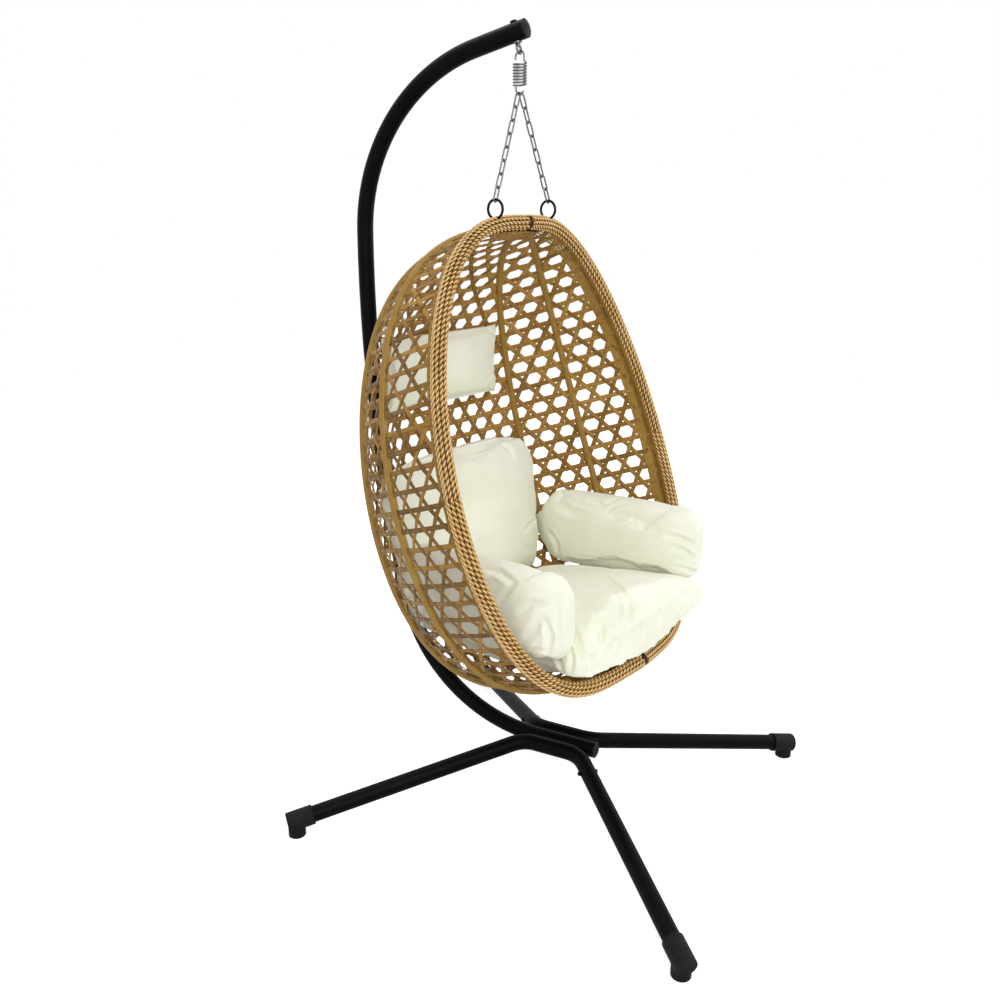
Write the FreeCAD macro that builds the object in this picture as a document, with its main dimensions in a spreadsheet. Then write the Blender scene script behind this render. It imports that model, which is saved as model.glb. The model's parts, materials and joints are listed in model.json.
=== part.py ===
import FreeCAD, Part
import Sketcher
import math
import os
from FreeCAD import Placement, Rotation, Vector

# Hanging egg chair: a bent tube stand, a sprung chain and an open woven basket with its cushions.
# Lengths are millimetres and angles are degrees. The stand is drawn about the middle of its four
# feet on the floor, with the sitter facing -Y. The basket is drawn about the vertical line
# through the hanging hook, and is turned and moved to its place with one placement.

doc = FreeCAD.newDocument("HangingEggChair")
sheet = doc.addObject("Spreadsheet::Sheet", "Sizes")

SIZES = {
    # stand tube
    "tube_od": 42.0, "tube_wall": 1.8, "tube_play": 0.3, "hub_height": 160.0, "tail_length": 109.0,
    "tail_run": 174.0, "low_bend": 416.0, "low_turn": 77.24, "spine_bend": 4120.0, "spine_turn": 14.07,
    "crown_bend": 430.5, "crown_turn": 75.27, "arm_run": 135.0, "joint_share": 0.5,
    "sleeve_length": 160.0, "sleeve_wall": 2.0, "joint_bolt_offset": 45.0, "weld_play": 0.2,
    # legs and feet
    "foot_half_x": 498.0, "foot_half_y": 522.0, "foot_axis_height": 38.0, "socket_bend": 80.0,
    "socket_corner_y": 82.0, "socket_length": 95.0, "spigot_length": 55.0, "spigot_wall": 1.6,
    "collar_length": 12.0, "leg_bolt_inset": 28.0, "bolt_shank": 6.0, "bolt_head": 11.0,
    "bolt_head_height": 4.0, "bolt_play": 0.25, "bolt_end": 2.0, "head_rounding": 1.0,
    "thread_play": 0.05, "nut_width": 10.0, "nut_height": 5.0, "boot_wall": 4.0,
    "boot_length": 62.0, "boot_end": 5.0, "boot_block": 44.0, "block_setback": 18.0,
    "boot_play": 0.3,
    # tube caps
    "cap_rim": 3.0, "cap_dome": 6.0, "cap_depth": 18.0,
    # eye bolt
    "eye_setback": 25.0, "eye_shank": 10.0, "eye_wire": 6.0, "eye_ring": 20.0, "washer_od": 20.0,
    "washer_height": 2.0, "dome_nut_width": 17.0, "dome_nut_base": 2.5, "dome_nut_crown": 3.0,
    "eye_hole_play": 0.3, "seat_play": 0.15,
    # spring
    "hook_wire": 4.0, "hook_width": 28.0, "coil_od": 33.0, "coil_length": 48.0, "coil_turns": 7.0,
    "hook_leg": 6.5, "hook_bend": 6.0, "hook_opening": 15.0, "hang_play": 0.3,
    # chains and rings
    "link_count": 8.0, "link_wire": 4.0, "link_width": 16.0, "ring_od": 48.0, "ring_wire": 6.0,
    "ring_half_space": 105.0,
    # basket frame
    "basket_turn": -9.5, "low_pivot_y": -377.0, "low_pivot_z": 480.0, "top_pivot_y": -23.0,
    "top_pivot_z": 1510.5, "hoop_round": 0.07, "rim_angle": 7.8, "rim_reach": 442.0, "rim_skew": 0.0925,
    "rim_square": -0.085, "side_angle": 34.5, "side_reach": 487.0, "side_skew": 0.0676,
    "side_square": -0.04, "rear_angle": 53.9, "rear_reach": 549.0, "rear_skew": 0.084,
    "rear_square": -0.031, "back_reach": 505.0, "back_skew": 0.084, "back_square": -0.031,
    "rim_tube_od": 19.0, "rib_tube_od": 16.0, "frame_wall": 1.2, "wrap_play": 0.2,
    "rib_wrap_play": 0.35, "rib_wrap_od": 19.0, "braid_od": 38.0, "braid_notch": 14.0,
    "rib_start": 60.0, "hub_od": 27.0, "hub_reach": 92.0, "hub_wall": 4.0,
    # woven wall
    "weave_thick": 4.0, "weave_gap": 0.3, "weave_clear": 98.0,
    # seat cushion
    "seat_half_width": 276.0, "seat_back_y": 90.0, "seat_front_y": -392.0, "seat_back_seam": 532.8,
    "seat_front_seam": 575.0, "seat_crown": 56.0, "seat_belly": 136.0, "seat_edge": 28.0,
    # arm cushions
    "arm_back_x": 300.0, "arm_back_y": 136.0, "arm_back_z": 662.8, "arm_front_x": 311.0,
    "arm_front_y": -350.0, "arm_front_z": 686.9, "arm_half_tall": 83.0, "arm_half_thick": 46.0,
    "arm_edge": 38.0,
    # back cushion
    "back_half_width": 284.0, "back_low_y": 122.0, "back_low_z": 537.6, "back_top_y": 211.0,
    "back_top_z": 944.0, "back_crown": 60.0, "back_rear": 34.0, "back_edge": 18.0,
    # head pillow
    "pillow_half_width": 230.0, "pillow_low_z": 1043.0, "pillow_top_z": 1243.0, "pillow_y": 250.2,
    "pillow_crown": 38.0, "pillow_rear": 24.0, "pillow_edge": 10.0, "pillow_tilt": 13.0,
}

for row, (alias, value) in enumerate(SIZES.items(), 1):
    sheet.set("A%d" % row, alias)
    sheet.set("B%d" % row, str(value))
    sheet.setAlias("B%d" % row, alias)
doc.recompute()


def size(alias):
    return float(sheet.get(alias))


def sin(degrees):
    return math.sin(math.radians(degrees))


def cos(degrees):
    return math.cos(math.radians(degrees))


parts = []


def finish(item, name, placement=None):
    # names a sub-part, puts it in its place and lists it for writing
    item.Label = name
    if placement is not None:
        item.Placement = placement
    parts.append(item)
    return item


def shapeFeature(name, shape, placement=None):
    item = doc.addObject("Part::Feature", name)
    item.Shape = shape
    return finish(item, name, placement)


# Paths and tubes

def arcEdge(start, tangent, end):
    # the circle arc that leaves start along tangent and ends at end, or a line where it is straight
    chord = end - start
    along = Vector(chord)
    along.normalize()
    side = tangent - along * tangent.dot(along)
    if side.Length < 1e-7:
        return Part.LineSegment(start, end).toShape()
    half = math.atan2(side.Length, tangent.dot(along)) / 2
    side.normalize()
    middle = (start + end) * 0.5 + side * (chord.Length / 2 * math.tan(half))
    return Part.Arc(start, middle, end).toShape()


def biarc(start, startWay, end, endWay):
    # two arcs that meet smoothly half way and leave both ends along the given directions
    gap = end - start
    both = startWay + endWay
    square = 2 * (startWay.dot(endWay) - 1)
    if abs(square) < 1e-9:
        reach = gap.dot(gap) / (2 * gap.dot(both))
    else:
        linear = -2 * gap.dot(both)
        root = math.sqrt(linear * linear - 4 * square * gap.dot(gap))
        reach = (-linear - root) / (2 * square)
    first = start + startWay * reach
    last = end - endWay * reach
    middle = (first + last) * 0.5
    middleWay = last - first
    middleWay.normalize()
    return [arcEdge(start, startWay, middle), arcEdge(middle, middleWay, end)]


def smoothPath(points, ways):
    edges = []
    for i in range(len(points) - 1):
        edges += biarc(points[i], ways[i], points[i + 1], ways[i + 1])
    return Part.Wire(edges)


def tubeAlong(path, outer, bore=0.0):
    # a round bar along a path, or a tube where a bore is given
    start = path.Edges[0]
    first = start.valueAt(start.FirstParameter)
    way = start.tangentAt(start.FirstParameter)
    bar = path.makePipeShell([Part.Wire(Part.makeCircle(outer / 2, first, way))], True, False)
    if bore <= 0:
        return bar
    core = path.makePipeShell([Part.Wire(Part.makeCircle(bore / 2, first, way))], True, False)
    return bar.cut(core)


# The stand: one C of bent tube, in the plane x = 0

def mastRuns():
    # start point, heading and pieces of the mast's centre line, from its tail to its tip
    return [
        ("line", size("tail_run")),
        ("arc", size("low_bend"), size("low_turn")),
        ("arc", size("spine_bend"), size("spine_turn")),
        ("arc", size("crown_bend"), size("crown_turn") * size("joint_share")),
        ("arc", size("crown_bend"), size("crown_turn") * (1 - size("joint_share"))),
        ("line", size("arm_run")),
    ]


def mastPoint(heading):
    return Vector(0, cos(heading), sin(heading))


def mastEdges(runs, start, heading):
    # edges of the runs, and the point and heading where they end
    edges = []
    here = Vector(start)
    for run in runs:
        if run[0] == "line":
            there = here + mastPoint(heading) * run[1]
            edges.append(Part.LineSegment(here, there).toShape())
            here = there
        else:
            centre = here + mastPoint(heading + 90) * run[1]
            middle = centre - mastPoint(heading + run[2] / 2 + 90) * run[1]
            there = centre - mastPoint(heading + run[2] + 90) * run[1]
            edges.append(Part.Arc(here, middle, there).toShape())
            here = there
            heading += run[2]
    return edges, here, heading


tubeOd = size("tube_od")
tubeBore = tubeOd - 2 * size("tube_wall")
tail = Vector(0, -size("tail_length"), size("hub_height"))
runs = mastRuns()
lowEdges, joint, jointHeading = mastEdges(runs[:4], tail, 0)
highEdges, tip, tipHeading = mastEdges(runs[4:], joint, jointHeading)
tipWay = mastPoint(tipHeading)

# The eye bolt goes square through the arm, so it leans with the arm
eyeUp = mastPoint(tipHeading - 90)
eyeSeat = tip - tipWay * size("eye_setback")
seatPlay = size("seat_play")
eyeDrop = (tubeOd + size("eye_ring") + size("eye_wire")) / 2 + size("washer_height") + 2 * seatPlay
eyeCentre = eyeSeat - eyeUp * eyeDrop
eyeTouch = eyeCentre - eyeUp * (size("eye_ring") / 2) + Vector(0, 0, size("eye_wire") / 2)
hangY = eyeTouch.y


def holeAlong(point, way, diameter, length):
    return Part.makeCylinder(diameter / 2, length, point - way * (length / 2), way)


boltHole = size("bolt_shank") + 2 * size("bolt_play")
crownBend = size("crown_bend")
boltTurn = math.degrees(size("joint_bolt_offset") / crownBend)
jointCentre = joint + mastPoint(jointHeading + 90) * crownBend
jointBolts = []
for sign in (-1, 1):
    heading = jointHeading + sign * boltTurn
    place = jointCentre - mastPoint(heading + 90) * crownBend
    jointBolts.append((place, Vector(1, 0, 0)))

lowTube = tubeAlong(Part.Wire(lowEdges), tubeOd, tubeBore)
lowTube = lowTube.cut(holeAlong(jointBolts[0][0], jointBolts[0][1], boltHole, 2 * tubeOd))
shapeFeature("lower_mast", lowTube)
highTube = tubeAlong(Part.Wire(highEdges), tubeOd, tubeBore)
highTube = highTube.cut(holeAlong(jointBolts[1][0], jointBolts[1][1], boltHole, 2 * tubeOd))
highTube = highTube.cut(holeAlong(eyeSeat, eyeUp, size("eye_shank") + 2 * size("eye_hole_play"),
                                  2 * tubeOd))
shapeFeature("upper_mast", highTube)

# The sleeve inside the joint follows the same bend
sleeveTurn = math.degrees(size("sleeve_length") / 2 / crownBend)
sleeveStart = jointCentre - mastPoint(jointHeading - sleeveTurn + 90) * crownBend
sleeveRun = [("arc", crownBend, 2 * sleeveTurn)]
sleeveEdges, sleeveEnd, sleeveHeading = mastEdges(sleeveRun, sleeveStart, jointHeading - sleeveTurn)
sleeveOd = tubeBore - 2 * size("tube_play")
sleeve = tubeAlong(Part.Wire(sleeveEdges), sleeveOd, sleeveOd - 2 * size("sleeve_wall"))
for place, way in jointBolts:
    sleeve = sleeve.cut(holeAlong(place, way, boltHole, 2 * tubeOd))
shapeFeature("mast_joint_sleeve", sleeve)


def crossBolts(name, places):
    # bolts through a tube: each has its head on one side and its shank ends past the nut
    reach = tubeOd / 2 + seatPlay
    bolts = []
    for number, (place, way) in enumerate(places, 1):
        turn = Rotation(Vector(0, 0, 1), way)
        rod = doc.addObject("Part::Cylinder", "%s_rod_%d" % (name, number))
        rod.setExpression("Radius", "Sizes.bolt_shank / 2")
        rod.setExpression("Height", "Sizes.tube_od + 2 * Sizes.seat_play + Sizes.nut_height"
                                    " + Sizes.bolt_end")
        rod.Placement = Placement(place - way * reach, turn)
        blank = doc.addObject("Part::Cylinder", "%s_blank_%d" % (name, number))
        blank.setExpression("Radius", "Sizes.bolt_head / 2")
        blank.setExpression("Height", "Sizes.bolt_head_height")
        blank.Placement = Placement(place - way * (reach + size("bolt_head_height")), turn)
        ball = doc.addObject("Part::Sphere", "%s_ball_%d" % (name, number))
        ball.setExpression("Radius", "Sizes.bolt_head / 2")
        ball.Placement = Placement(place - way * (reach + size("head_rounding")), turn)
        head = doc.addObject("Part::MultiCommon", "%s_head_%d" % (name, number))
        head.Shapes = [blank, ball]
        bolt = doc.addObject("Part::MultiFuse", "%s_bolt_%d" % (name, number))
        bolt.Shapes = [rod, head]
        bolts.append(bolt)
    group = doc.addObject("Part::Compound", name)
    group.Links = bolts
    finish(group, name)


def crossNuts(name, places):
    # six-sided nuts with a running hole, on the far side of the tube
    nuts = []
    for number, (place, way) in enumerate(places, 1):
        seat = Placement(place + way * (tubeOd / 2 + seatPlay), Rotation(Vector(0, 0, 1), way))
        prism = doc.addObject("Part::Prism", "%s_prism_%d" % (name, number))
        prism.Polygon = 6
        prism.setExpression("Circumradius", "Sizes.nut_width / sqrt(3)")
        prism.setExpression("Height", "Sizes.nut_height")
        prism.Placement = seat
        thread = doc.addObject("Part::Cylinder", "%s_thread_%d" % (name, number))
        thread.setExpression("Radius", "Sizes.bolt_shank / 2 + Sizes.thread_play")
        thread.setExpression("Height", "Sizes.nut_height")
        thread.Placement = seat
        nut = doc.addObject("Part::Cut", "%s_nut_%d" % (name, number))
        nut.Base = prism
        nut.Tool = thread
        nuts.append(nut)
    group = doc.addObject("Part::Compound", name)
    group.Links = nuts
    finish(group, name)


crossBolts("mast_joint_bolts", jointBolts)
crossNuts("mast_joint_nuts", jointBolts)

# Legs: each side has one bent socket welded beside the mast's tail, and two straight legs

socketX = tubeOd + size("weld_play")


def legLine(sideX, sideY):
    # where the bent socket's straight meets the leg's line, and the foot's place on that line
    corner = Vector(sideX * socketX, sideY * size("socket_corner_y"), size("hub_height"))
    foot = Vector(sideX * size("foot_half_x"), sideY * size("foot_half_y"),
                  size("foot_axis_height"))
    way = foot - corner
    way.normalize()
    return corner, foot, way


def cornerArc(corner, wayIn, wayOut, radius):
    # start and end of a bend of this radius that rounds a corner
    half = math.acos(max(-1.0, min(1.0, wayIn.dot(wayOut)))) / 2
    back = radius * math.tan(half)
    return corner - wayIn * back, corner + wayOut * back


def socketShape(sideX):
    # from the front leg's spigot round two bends to the rear leg's, level between them
    frontCorner, frontFoot, frontWay = legLine(sideX, -1)
    rearCorner, rearFoot, rearWay = legLine(sideX, 1)
    level = Vector(0, 1, 0)
    reach = size("socket_length")
    firstStart, firstEnd = cornerArc(frontCorner, frontWay * -1, level, size("socket_bend"))
    secondStart, secondEnd = cornerArc(rearCorner, level, rearWay, size("socket_bend"))
    edges = [
        Part.LineSegment(frontCorner + frontWay * reach, firstStart).toShape(),
        arcEdge(firstStart, frontWay * -1, firstEnd),
        Part.LineSegment(firstEnd, secondStart).toShape(),
        arcEdge(secondStart, level, secondEnd),
        Part.LineSegment(secondEnd, rearCorner + rearWay * reach).toShape(),
    ]
    return tubeAlong(Part.Wire(edges), tubeOd, tubeBore)


def crossWay(way):
    # level direction square to a leg, in which its bolt goes through
    side = Vector(0, 0, 1).cross(way)
    side.normalize()
    return side


def originPlane(body, role):
    return [item for item in body.Origin.OriginFeatures if item.Role == role][0]


def bodySketch(body, name, role):
    sketch = body.newObject("Sketcher::SketchObject", name)
    sketch.AttachmentSupport = [(originPlane(body, role), "")]
    sketch.MapMode = "FlatFace"
    return sketch


def addCircle(sketch, middle, expression):
    # a circle about a point, its radius bound to the sheet
    number = sketch.addGeometry(Part.Circle(middle, Vector(0, 0, 1), 1.0), False)
    if middle.Length < 1e-9:
        sketch.addConstraint(Sketcher.Constraint("Coincident", number, 3, -1, 1))
    name = sketch.addConstraint(Sketcher.Constraint("Radius", number, 1.0))
    sketch.setExpression("Constraints[%d]" % name, expression)
    return number


SPIGOT_OUT = "(Sizes.tube_od / 2 - Sizes.tube_wall - Sizes.tube_play)"
SPIGOT_IN = "(Sizes.tube_od / 2 - Sizes.tube_wall - Sizes.tube_play - Sizes.spigot_wall)"
TUBE_IN = "(Sizes.tube_od / 2 - Sizes.tube_wall)"


def legBody(name, length, place):
    # a straight tube with a collar and spigot pressed in its upper end, and the bolt's hole
    body = doc.addObject("PartDesign::Body", name)
    runs = [
        ("tube", "Sizes.tube_od / 2", TUBE_IN, length, False),
        ("collar", TUBE_IN, SPIGOT_IN, "Sizes.collar_length", False),
        ("spigot", SPIGOT_OUT, SPIGOT_IN, "Sizes.spigot_length", True),
    ]
    for part, outer, inner, reach, backwards in runs:
        sketch = bodySketch(body, "%s_%s_section" % (name, part), "XY_Plane")
        addCircle(sketch, Vector(0, 0, 0), outer)
        addCircle(sketch, Vector(0, 0, 0), inner)
        pad = body.newObject("PartDesign::Pad", "%s_%s" % (name, part))
        pad.Profile = sketch
        pad.Reversed = backwards
        if isinstance(reach, str):
            pad.setExpression("Length", reach)
        else:
            pad.Length = reach
        sketch.Visibility = False
    hole = bodySketch(body, name + "_bolt_place", "YZ_Plane")
    circle = addCircle(hole, Vector(0, -size("leg_bolt_inset"), 0),
                       "Sizes.bolt_shank / 2 + Sizes.bolt_play")
    hole.addConstraint(Sketcher.Constraint("PointOnObject", circle, 3, -2))
    inset = hole.addConstraint(Sketcher.Constraint("DistanceY", circle, 3, -1, 1,
                                                   size("leg_bolt_inset")))
    hole.setExpression("Constraints[%d]" % inset, "Sizes.leg_bolt_inset")
    pocket = body.newObject("PartDesign::Pocket", name + "_bolt_hole")
    pocket.Profile = hole
    pocket.Type = "ThroughAll"
    pocket.Midplane = True
    body.Tip = pocket
    doc.recompute()
    return finish(body, name, place)


legBolts = []
for sideX, sideName in ((-1, "left"), (1, "right")):
    socket = socketShape(sideX)
    for sideY, endName in ((-1, "front"), (1, "rear")):
        corner, foot, way = legLine(sideX, sideY)
        boltPlace = corner + way * (size("socket_length") - size("leg_bolt_inset"))
        boltWay = crossWay(way) * (-sideX * sideY)
        legBolts.append((boltPlace, boltWay))
        socket = socket.cut(holeAlong(boltPlace, boltWay, boltHole, 2 * tubeOd))
        legStart = corner + way * size("socket_length")
        turn = Rotation(boltWay, way.cross(boltWay), way, "ZXY")
        legBody("%s_%s_leg" % (endName, sideName), (foot - legStart).Length,
                Placement(legStart, turn))
    shapeFeature("%s_leg_socket" % sideName, socket)

crossBolts("leg_bolts", legBolts)
crossNuts("leg_nuts", legBolts)

# Rubber boots, built as primitives so that each size stays bound to the sheet

for sideX, sideName in ((-1, "left"), (1, "right")):
    for sideY, endName in ((-1, "front"), (1, "rear")):
        name = "%s_%s_boot" % (endName, sideName)
        corner, foot, way = legLine(sideX, sideY)
        turn = Rotation(Vector(0, 0, 1), way)
        shell = doc.addObject("Part::Cylinder", name + "_shell")
        shell.setExpression("Radius", "Sizes.tube_od / 2 + Sizes.boot_play + Sizes.boot_wall")
        shell.setExpression("Height", "Sizes.boot_length + Sizes.boot_end")
        shell.Placement = Placement(foot - way * size("boot_length"), turn)
        block = doc.addObject("Part::Cylinder", name + "_block")
        block.setExpression("Radius", "Sizes.boot_block / 2")
        block.setExpression("Height", "Sizes.foot_axis_height")
        block.Placement = Placement(Vector(foot.x, foot.y, 0) - Vector(way.x, way.y, 0)
                                    * size("block_setback"),
                                    Rotation())
        body = doc.addObject("Part::Fuse", name + "_body")
        body.Base = shell
        body.Tool = block
        bore = doc.addObject("Part::Cylinder", name + "_bore")
        bore.setExpression("Radius", "Sizes.tube_od / 2 + Sizes.boot_play")
        bore.setExpression("Height", "Sizes.boot_length + Sizes.boot_play")
        bore.Placement = Placement(foot - way * size("boot_length"), turn)
        boot = doc.addObject("Part::Cut", name)
        boot.Base = body
        boot.Tool = bore
        finish(boot, name)


def domeFeature(name, rise, radius, place, turn):
    # a low dome cut from a ball, its rise and radius given as expressions on the sheet
    ball = "((%s) ^ 2 + %s ^ 2) / (2 * %s)" % (radius, rise, rise)
    dome = doc.addObject("Part::Sphere", name)
    dome.setExpression("Radius", ball)
    dome.setExpression("Angle1", "asin(1 - %s / (%s))" % (rise, ball))
    doc.recompute()
    sunk = dome.Radius.Value * sin(dome.Angle1.Value)
    dome.Placement = Placement(place - turn.multVec(Vector(0, 0, sunk)), turn)
    return dome


# Caps in the two open ends of the mast: a plug, a rim and a low dome

def tubeCap(name, place, way):
    turn = Rotation(Vector(0, 0, 1), way)
    plug = doc.addObject("Part::Cylinder", name + "_plug")
    plug.setExpression("Radius", "Sizes.tube_od / 2 - Sizes.tube_wall - Sizes.tube_play")
    plug.setExpression("Height", "Sizes.cap_depth + Sizes.seat_play")
    plug.Placement = Placement(place - way * size("cap_depth"), turn)
    rim = doc.addObject("Part::Cylinder", name + "_rim")
    rim.setExpression("Radius", "Sizes.tube_od / 2")
    rim.setExpression("Height", "Sizes.cap_rim")
    rim.Placement = Placement(place + way * seatPlay, turn)
    dome = domeFeature(name + "_dome", "Sizes.cap_dome", "Sizes.tube_od / 2",
                       place + way * (seatPlay + size("cap_rim")), turn)
    cap = doc.addObject("Part::MultiFuse", name)
    cap.Shapes = [plug, rim, dome]
    finish(cap, name)


tubeCap("mast_top_cap", tip, tipWay)
tubeCap("mast_tail_cap", tail, Vector(0, -1, 0))

# Eye bolt, washer and dome nut, each drawn upright about the middle of the eye

eyePlace = Placement(eyeCentre, Rotation(Vector(0, 0, 1), eyeUp))
eye = doc.addObject("Part::Torus", "eye_ring_bar")
eye.setExpression("Radius1", "Sizes.eye_ring / 2")
eye.setExpression("Radius2", "Sizes.eye_wire / 2")
eye.Placement = Placement(Vector(0, 0, 0), Rotation(Vector(1, 0, 0), 90))
shank = doc.addObject("Part::Cylinder", "eye_shank_bar")
shank.setExpression("Radius", "Sizes.eye_shank / 2")
shank.Height = eyeDrop + tubeOd / 2 + size("dome_nut_base") - size("eye_ring") / 2
shank.Placement = Placement(Vector(0, 0, size("eye_ring") / 2), Rotation())
bolt = doc.addObject("Part::Fuse", "eye_bolt")
bolt.Base = shank
bolt.Tool = eye
finish(bolt, "eye_bolt", eyePlace)

disc = doc.addObject("Part::Cylinder", "washer_disc")
disc.setExpression("Radius", "Sizes.washer_od / 2")
disc.setExpression("Height", "Sizes.washer_height")
bore = doc.addObject("Part::Cylinder", "washer_bore")
bore.setExpression("Radius", "Sizes.eye_shank / 2 + Sizes.eye_hole_play")
bore.setExpression("Height", "Sizes.washer_height")
washer = doc.addObject("Part::Cut", "eye_bolt_washer")
washer.Base = disc
washer.Tool = bore
washerLow = (size("eye_ring") + size("eye_wire")) / 2 + seatPlay
finish(washer, "eye_bolt_washer",
       Placement(eyeCentre + eyeUp * washerLow, eyePlace.Rotation))

base = doc.addObject("Part::Cylinder", "dome_nut_flange")
base.setExpression("Radius", "Sizes.dome_nut_width / 2")
base.setExpression("Height", "Sizes.dome_nut_base")
crown = domeFeature("dome_nut_top", "Sizes.dome_nut_crown", "Sizes.dome_nut_width / 2",
                    Vector(0, 0, size("dome_nut_base")), Rotation())
whole = doc.addObject("Part::Fuse", "dome_nut_whole")
whole.Base = base
whole.Tool = crown
thread = doc.addObject("Part::Cylinder", "dome_nut_thread")
thread.setExpression("Radius", "Sizes.eye_shank / 2 + Sizes.seat_play")
thread.setExpression("Height", "Sizes.dome_nut_base + Sizes.seat_play")
nut = doc.addObject("Part::Cut", "eye_bolt_nut")
nut.Base = whole
nut.Tool = thread
finish(nut, "eye_bolt_nut",
       Placement(eyeSeat + eyeUp * (tubeOd / 2 + seatPlay), eyePlace.Rotation))

# Everything that hangs is drawn about the hanging line and turned with the basket

hung = Placement(Vector(0, hangY, 0), Rotation(Vector(0, 0, 1), size("basket_turn")))
hookWire = size("hook_wire")
hangPlay = size("hang_play")
coilRadius = (size("coil_od") - hookWire) / 2
hookRadius = (size("hook_width") - hookWire) / 2
crownZ = eyeTouch.z + hookWire / 2 + hangPlay
legTop = crownZ - hookRadius
legLow = legTop - size("hook_leg")
coilTop = legLow - size("hook_bend")
coilLow = coilTop - size("coil_length")
lowerHookZ = coilLow - size("hook_bend")


def leastGap(path, thickness, skip):
    # least room between parts of a bar that are further than skip apart along it
    count = int(path.Length) + 1
    points = path.discretize(count)
    apart = int(math.ceil(skip / path.Length * count))
    return min((points[i] - points[j]).Length
               for i in range(count) for j in range(i + apart, count)) - thickness


def springShape():
    # one bar: open hook, leg, close coil, and a hook of the coil's own width turned square to it
    lead = math.degrees(math.asin(size("hook_bend") / coilRadius))
    firstTurn = -90 + lead
    lastTurn = 180 - lead + 360 * size("coil_turns")
    drop = size("coil_length") / (lastTurn - firstTurn)

    def coilPoint(turn):
        z = coilTop - drop * (turn - firstTurn)
        return Vector(coilRadius * cos(turn), coilRadius * sin(turn), z)

    def coilWay(turn):
        way = Vector(-sin(turn), cos(turn), -math.degrees(drop) / coilRadius)
        way.normalize()
        return way

    down = Vector(0, 0, -1)
    up = Vector(0, 0, 1)
    free = Vector(0, hookRadius, legLow)
    edges = [Part.LineSegment(free, Vector(0, hookRadius, legTop)).toShape()]
    edges += biarc(Vector(0, hookRadius, legTop), up, Vector(0, 0, crownZ), Vector(0, -1, 0))
    edges += biarc(Vector(0, 0, crownZ), Vector(0, -1, 0), Vector(0, -hookRadius, legTop), down)
    edges.append(Part.LineSegment(Vector(0, -hookRadius, legTop),
                                  Vector(0, -hookRadius, legLow)).toShape())
    edges += biarc(Vector(0, -hookRadius, legLow), down, coilPoint(firstTurn), coilWay(firstTurn))
    pieces = int(math.ceil((lastTurn - firstTurn) / 90))
    step = (lastTurn - firstTurn) / pieces
    for i in range(pieces):
        turn = firstTurn + i * step
        edges += biarc(coilPoint(turn), coilWay(turn), coilPoint(turn + step),
                       coilWay(turn + step))
    low = Vector(-coilRadius, 0, lowerHookZ)
    edges += biarc(coilPoint(lastTurn), coilWay(lastTurn), low, down)
    bottom = Vector(0, 0, lowerHookZ - coilRadius)
    edges += biarc(low, down, bottom, Vector(1, 0, 0))
    tilt = size("hook_opening")
    end = Vector(coilRadius * cos(tilt), 0, lowerHookZ - coilRadius * sin(tilt))
    edges += biarc(bottom, Vector(1, 0, 0), end, Vector(sin(tilt), 0, cos(tilt)))
    path = Part.Wire(edges)
    print("spring: length %.0f mm, least gap to itself %.2f mm"
          % (path.Length, leastGap(path, hookWire, 3 * coilRadius)))
    return tubeAlong(path, hookWire)


shapeFeature("spring", springShape(), hung)

# The basket's frame: hoops that open like a fan about the line through its two hubs

lowPivot = Vector(0, size("low_pivot_y"), size("low_pivot_z"))
topPivot = Vector(0, size("top_pivot_y"), size("top_pivot_z"))
fanLine = topPivot - lowPivot
fanLength = fanLine.Length
fanLine.normalize()
fanBack = Vector(0, fanLine.z, -fanLine.y)
hoopRound = size("hoop_round")
HALF_TURN = 180.0


class Hoop:
    # half a hoop, in the plane through the fan line that stands at this angle from +X
    def __init__(self, angle, reach, skew, square):
        self.angle = angle
        self.reach = reach
        self.skew = skew
        self.square = square
        most = max(self.swell(i) for i in range(181))
        self.scale = reach / most
        self.out = Vector(cos(angle), 0, 0) + fanBack * sin(angle)
        self.aside = Vector(-sin(angle), 0, 0) + fanBack * cos(angle)

    def swell(self, turn):
        return sin(turn) + self.skew * sin(2 * turn) + self.square * sin(3 * turn)

    def radius(self, turn):
        return self.scale * self.swell(turn)

    def rise(self, turn):
        return fanLength * ((1 - cos(turn)) / 2 + hoopRound * (cos(3 * turn) - cos(turn)))

    def point(self, turn):
        return lowPivot + fanLine * self.rise(turn) + self.out * self.radius(turn)

    def slopes(self, turn):
        grow = self.scale * (cos(turn) + 2 * self.skew * cos(2 * turn)
                             + 3 * self.square * cos(3 * turn))
        climb = fanLength * (sin(turn) / 2 + hoopRound * (sin(turn) - 3 * sin(3 * turn)))
        return grow, climb

    def way(self, turn):
        grow, climb = self.slopes(turn)
        way = self.out * grow + fanLine * climb
        way.normalize()
        return way

    def outward(self, turn):
        grow, climb = self.slopes(turn)
        way = self.out * climb - fanLine * grow
        way.normalize()
        return way

    def turnAt(self, radius, top):
        # the turn near the low or the top hub where the hoop stands this far from the fan line
        low, high = 0.0, 40.0
        for step in range(40):
            middle = (low + high) / 2
            at = HALF_TURN - middle if top else middle
            if self.radius(at) < radius:
                low = middle
            else:
                high = middle
        return HALF_TURN - low if top else low

    def curve(self, first, last, lift=0.0, shift=0.0, pieces=8):
        # points and directions along the hoop, lifted off it or shifted aside
        turns = [first + (last - first) * i / pieces for i in range(pieces + 1)]
        points = [self.point(a) + self.outward(a) * lift + self.aside * shift for a in turns]
        return points, [self.way(a) for a in turns]

    def path(self, first, last, lift=0.0, shift=0.0, pieces=8):
        points, ways = self.curve(first, last, lift, shift, pieces)
        return smoothPath(points, ways)


def between(one, two, share):
    # a hoop part of the way from one hoop to the next
    def mix(a, b):
        return a + (b - a) * share
    return Hoop(mix(one.angle, two.angle), mix(one.reach, two.reach), mix(one.skew, two.skew),
                mix(one.square, two.square))


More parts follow.
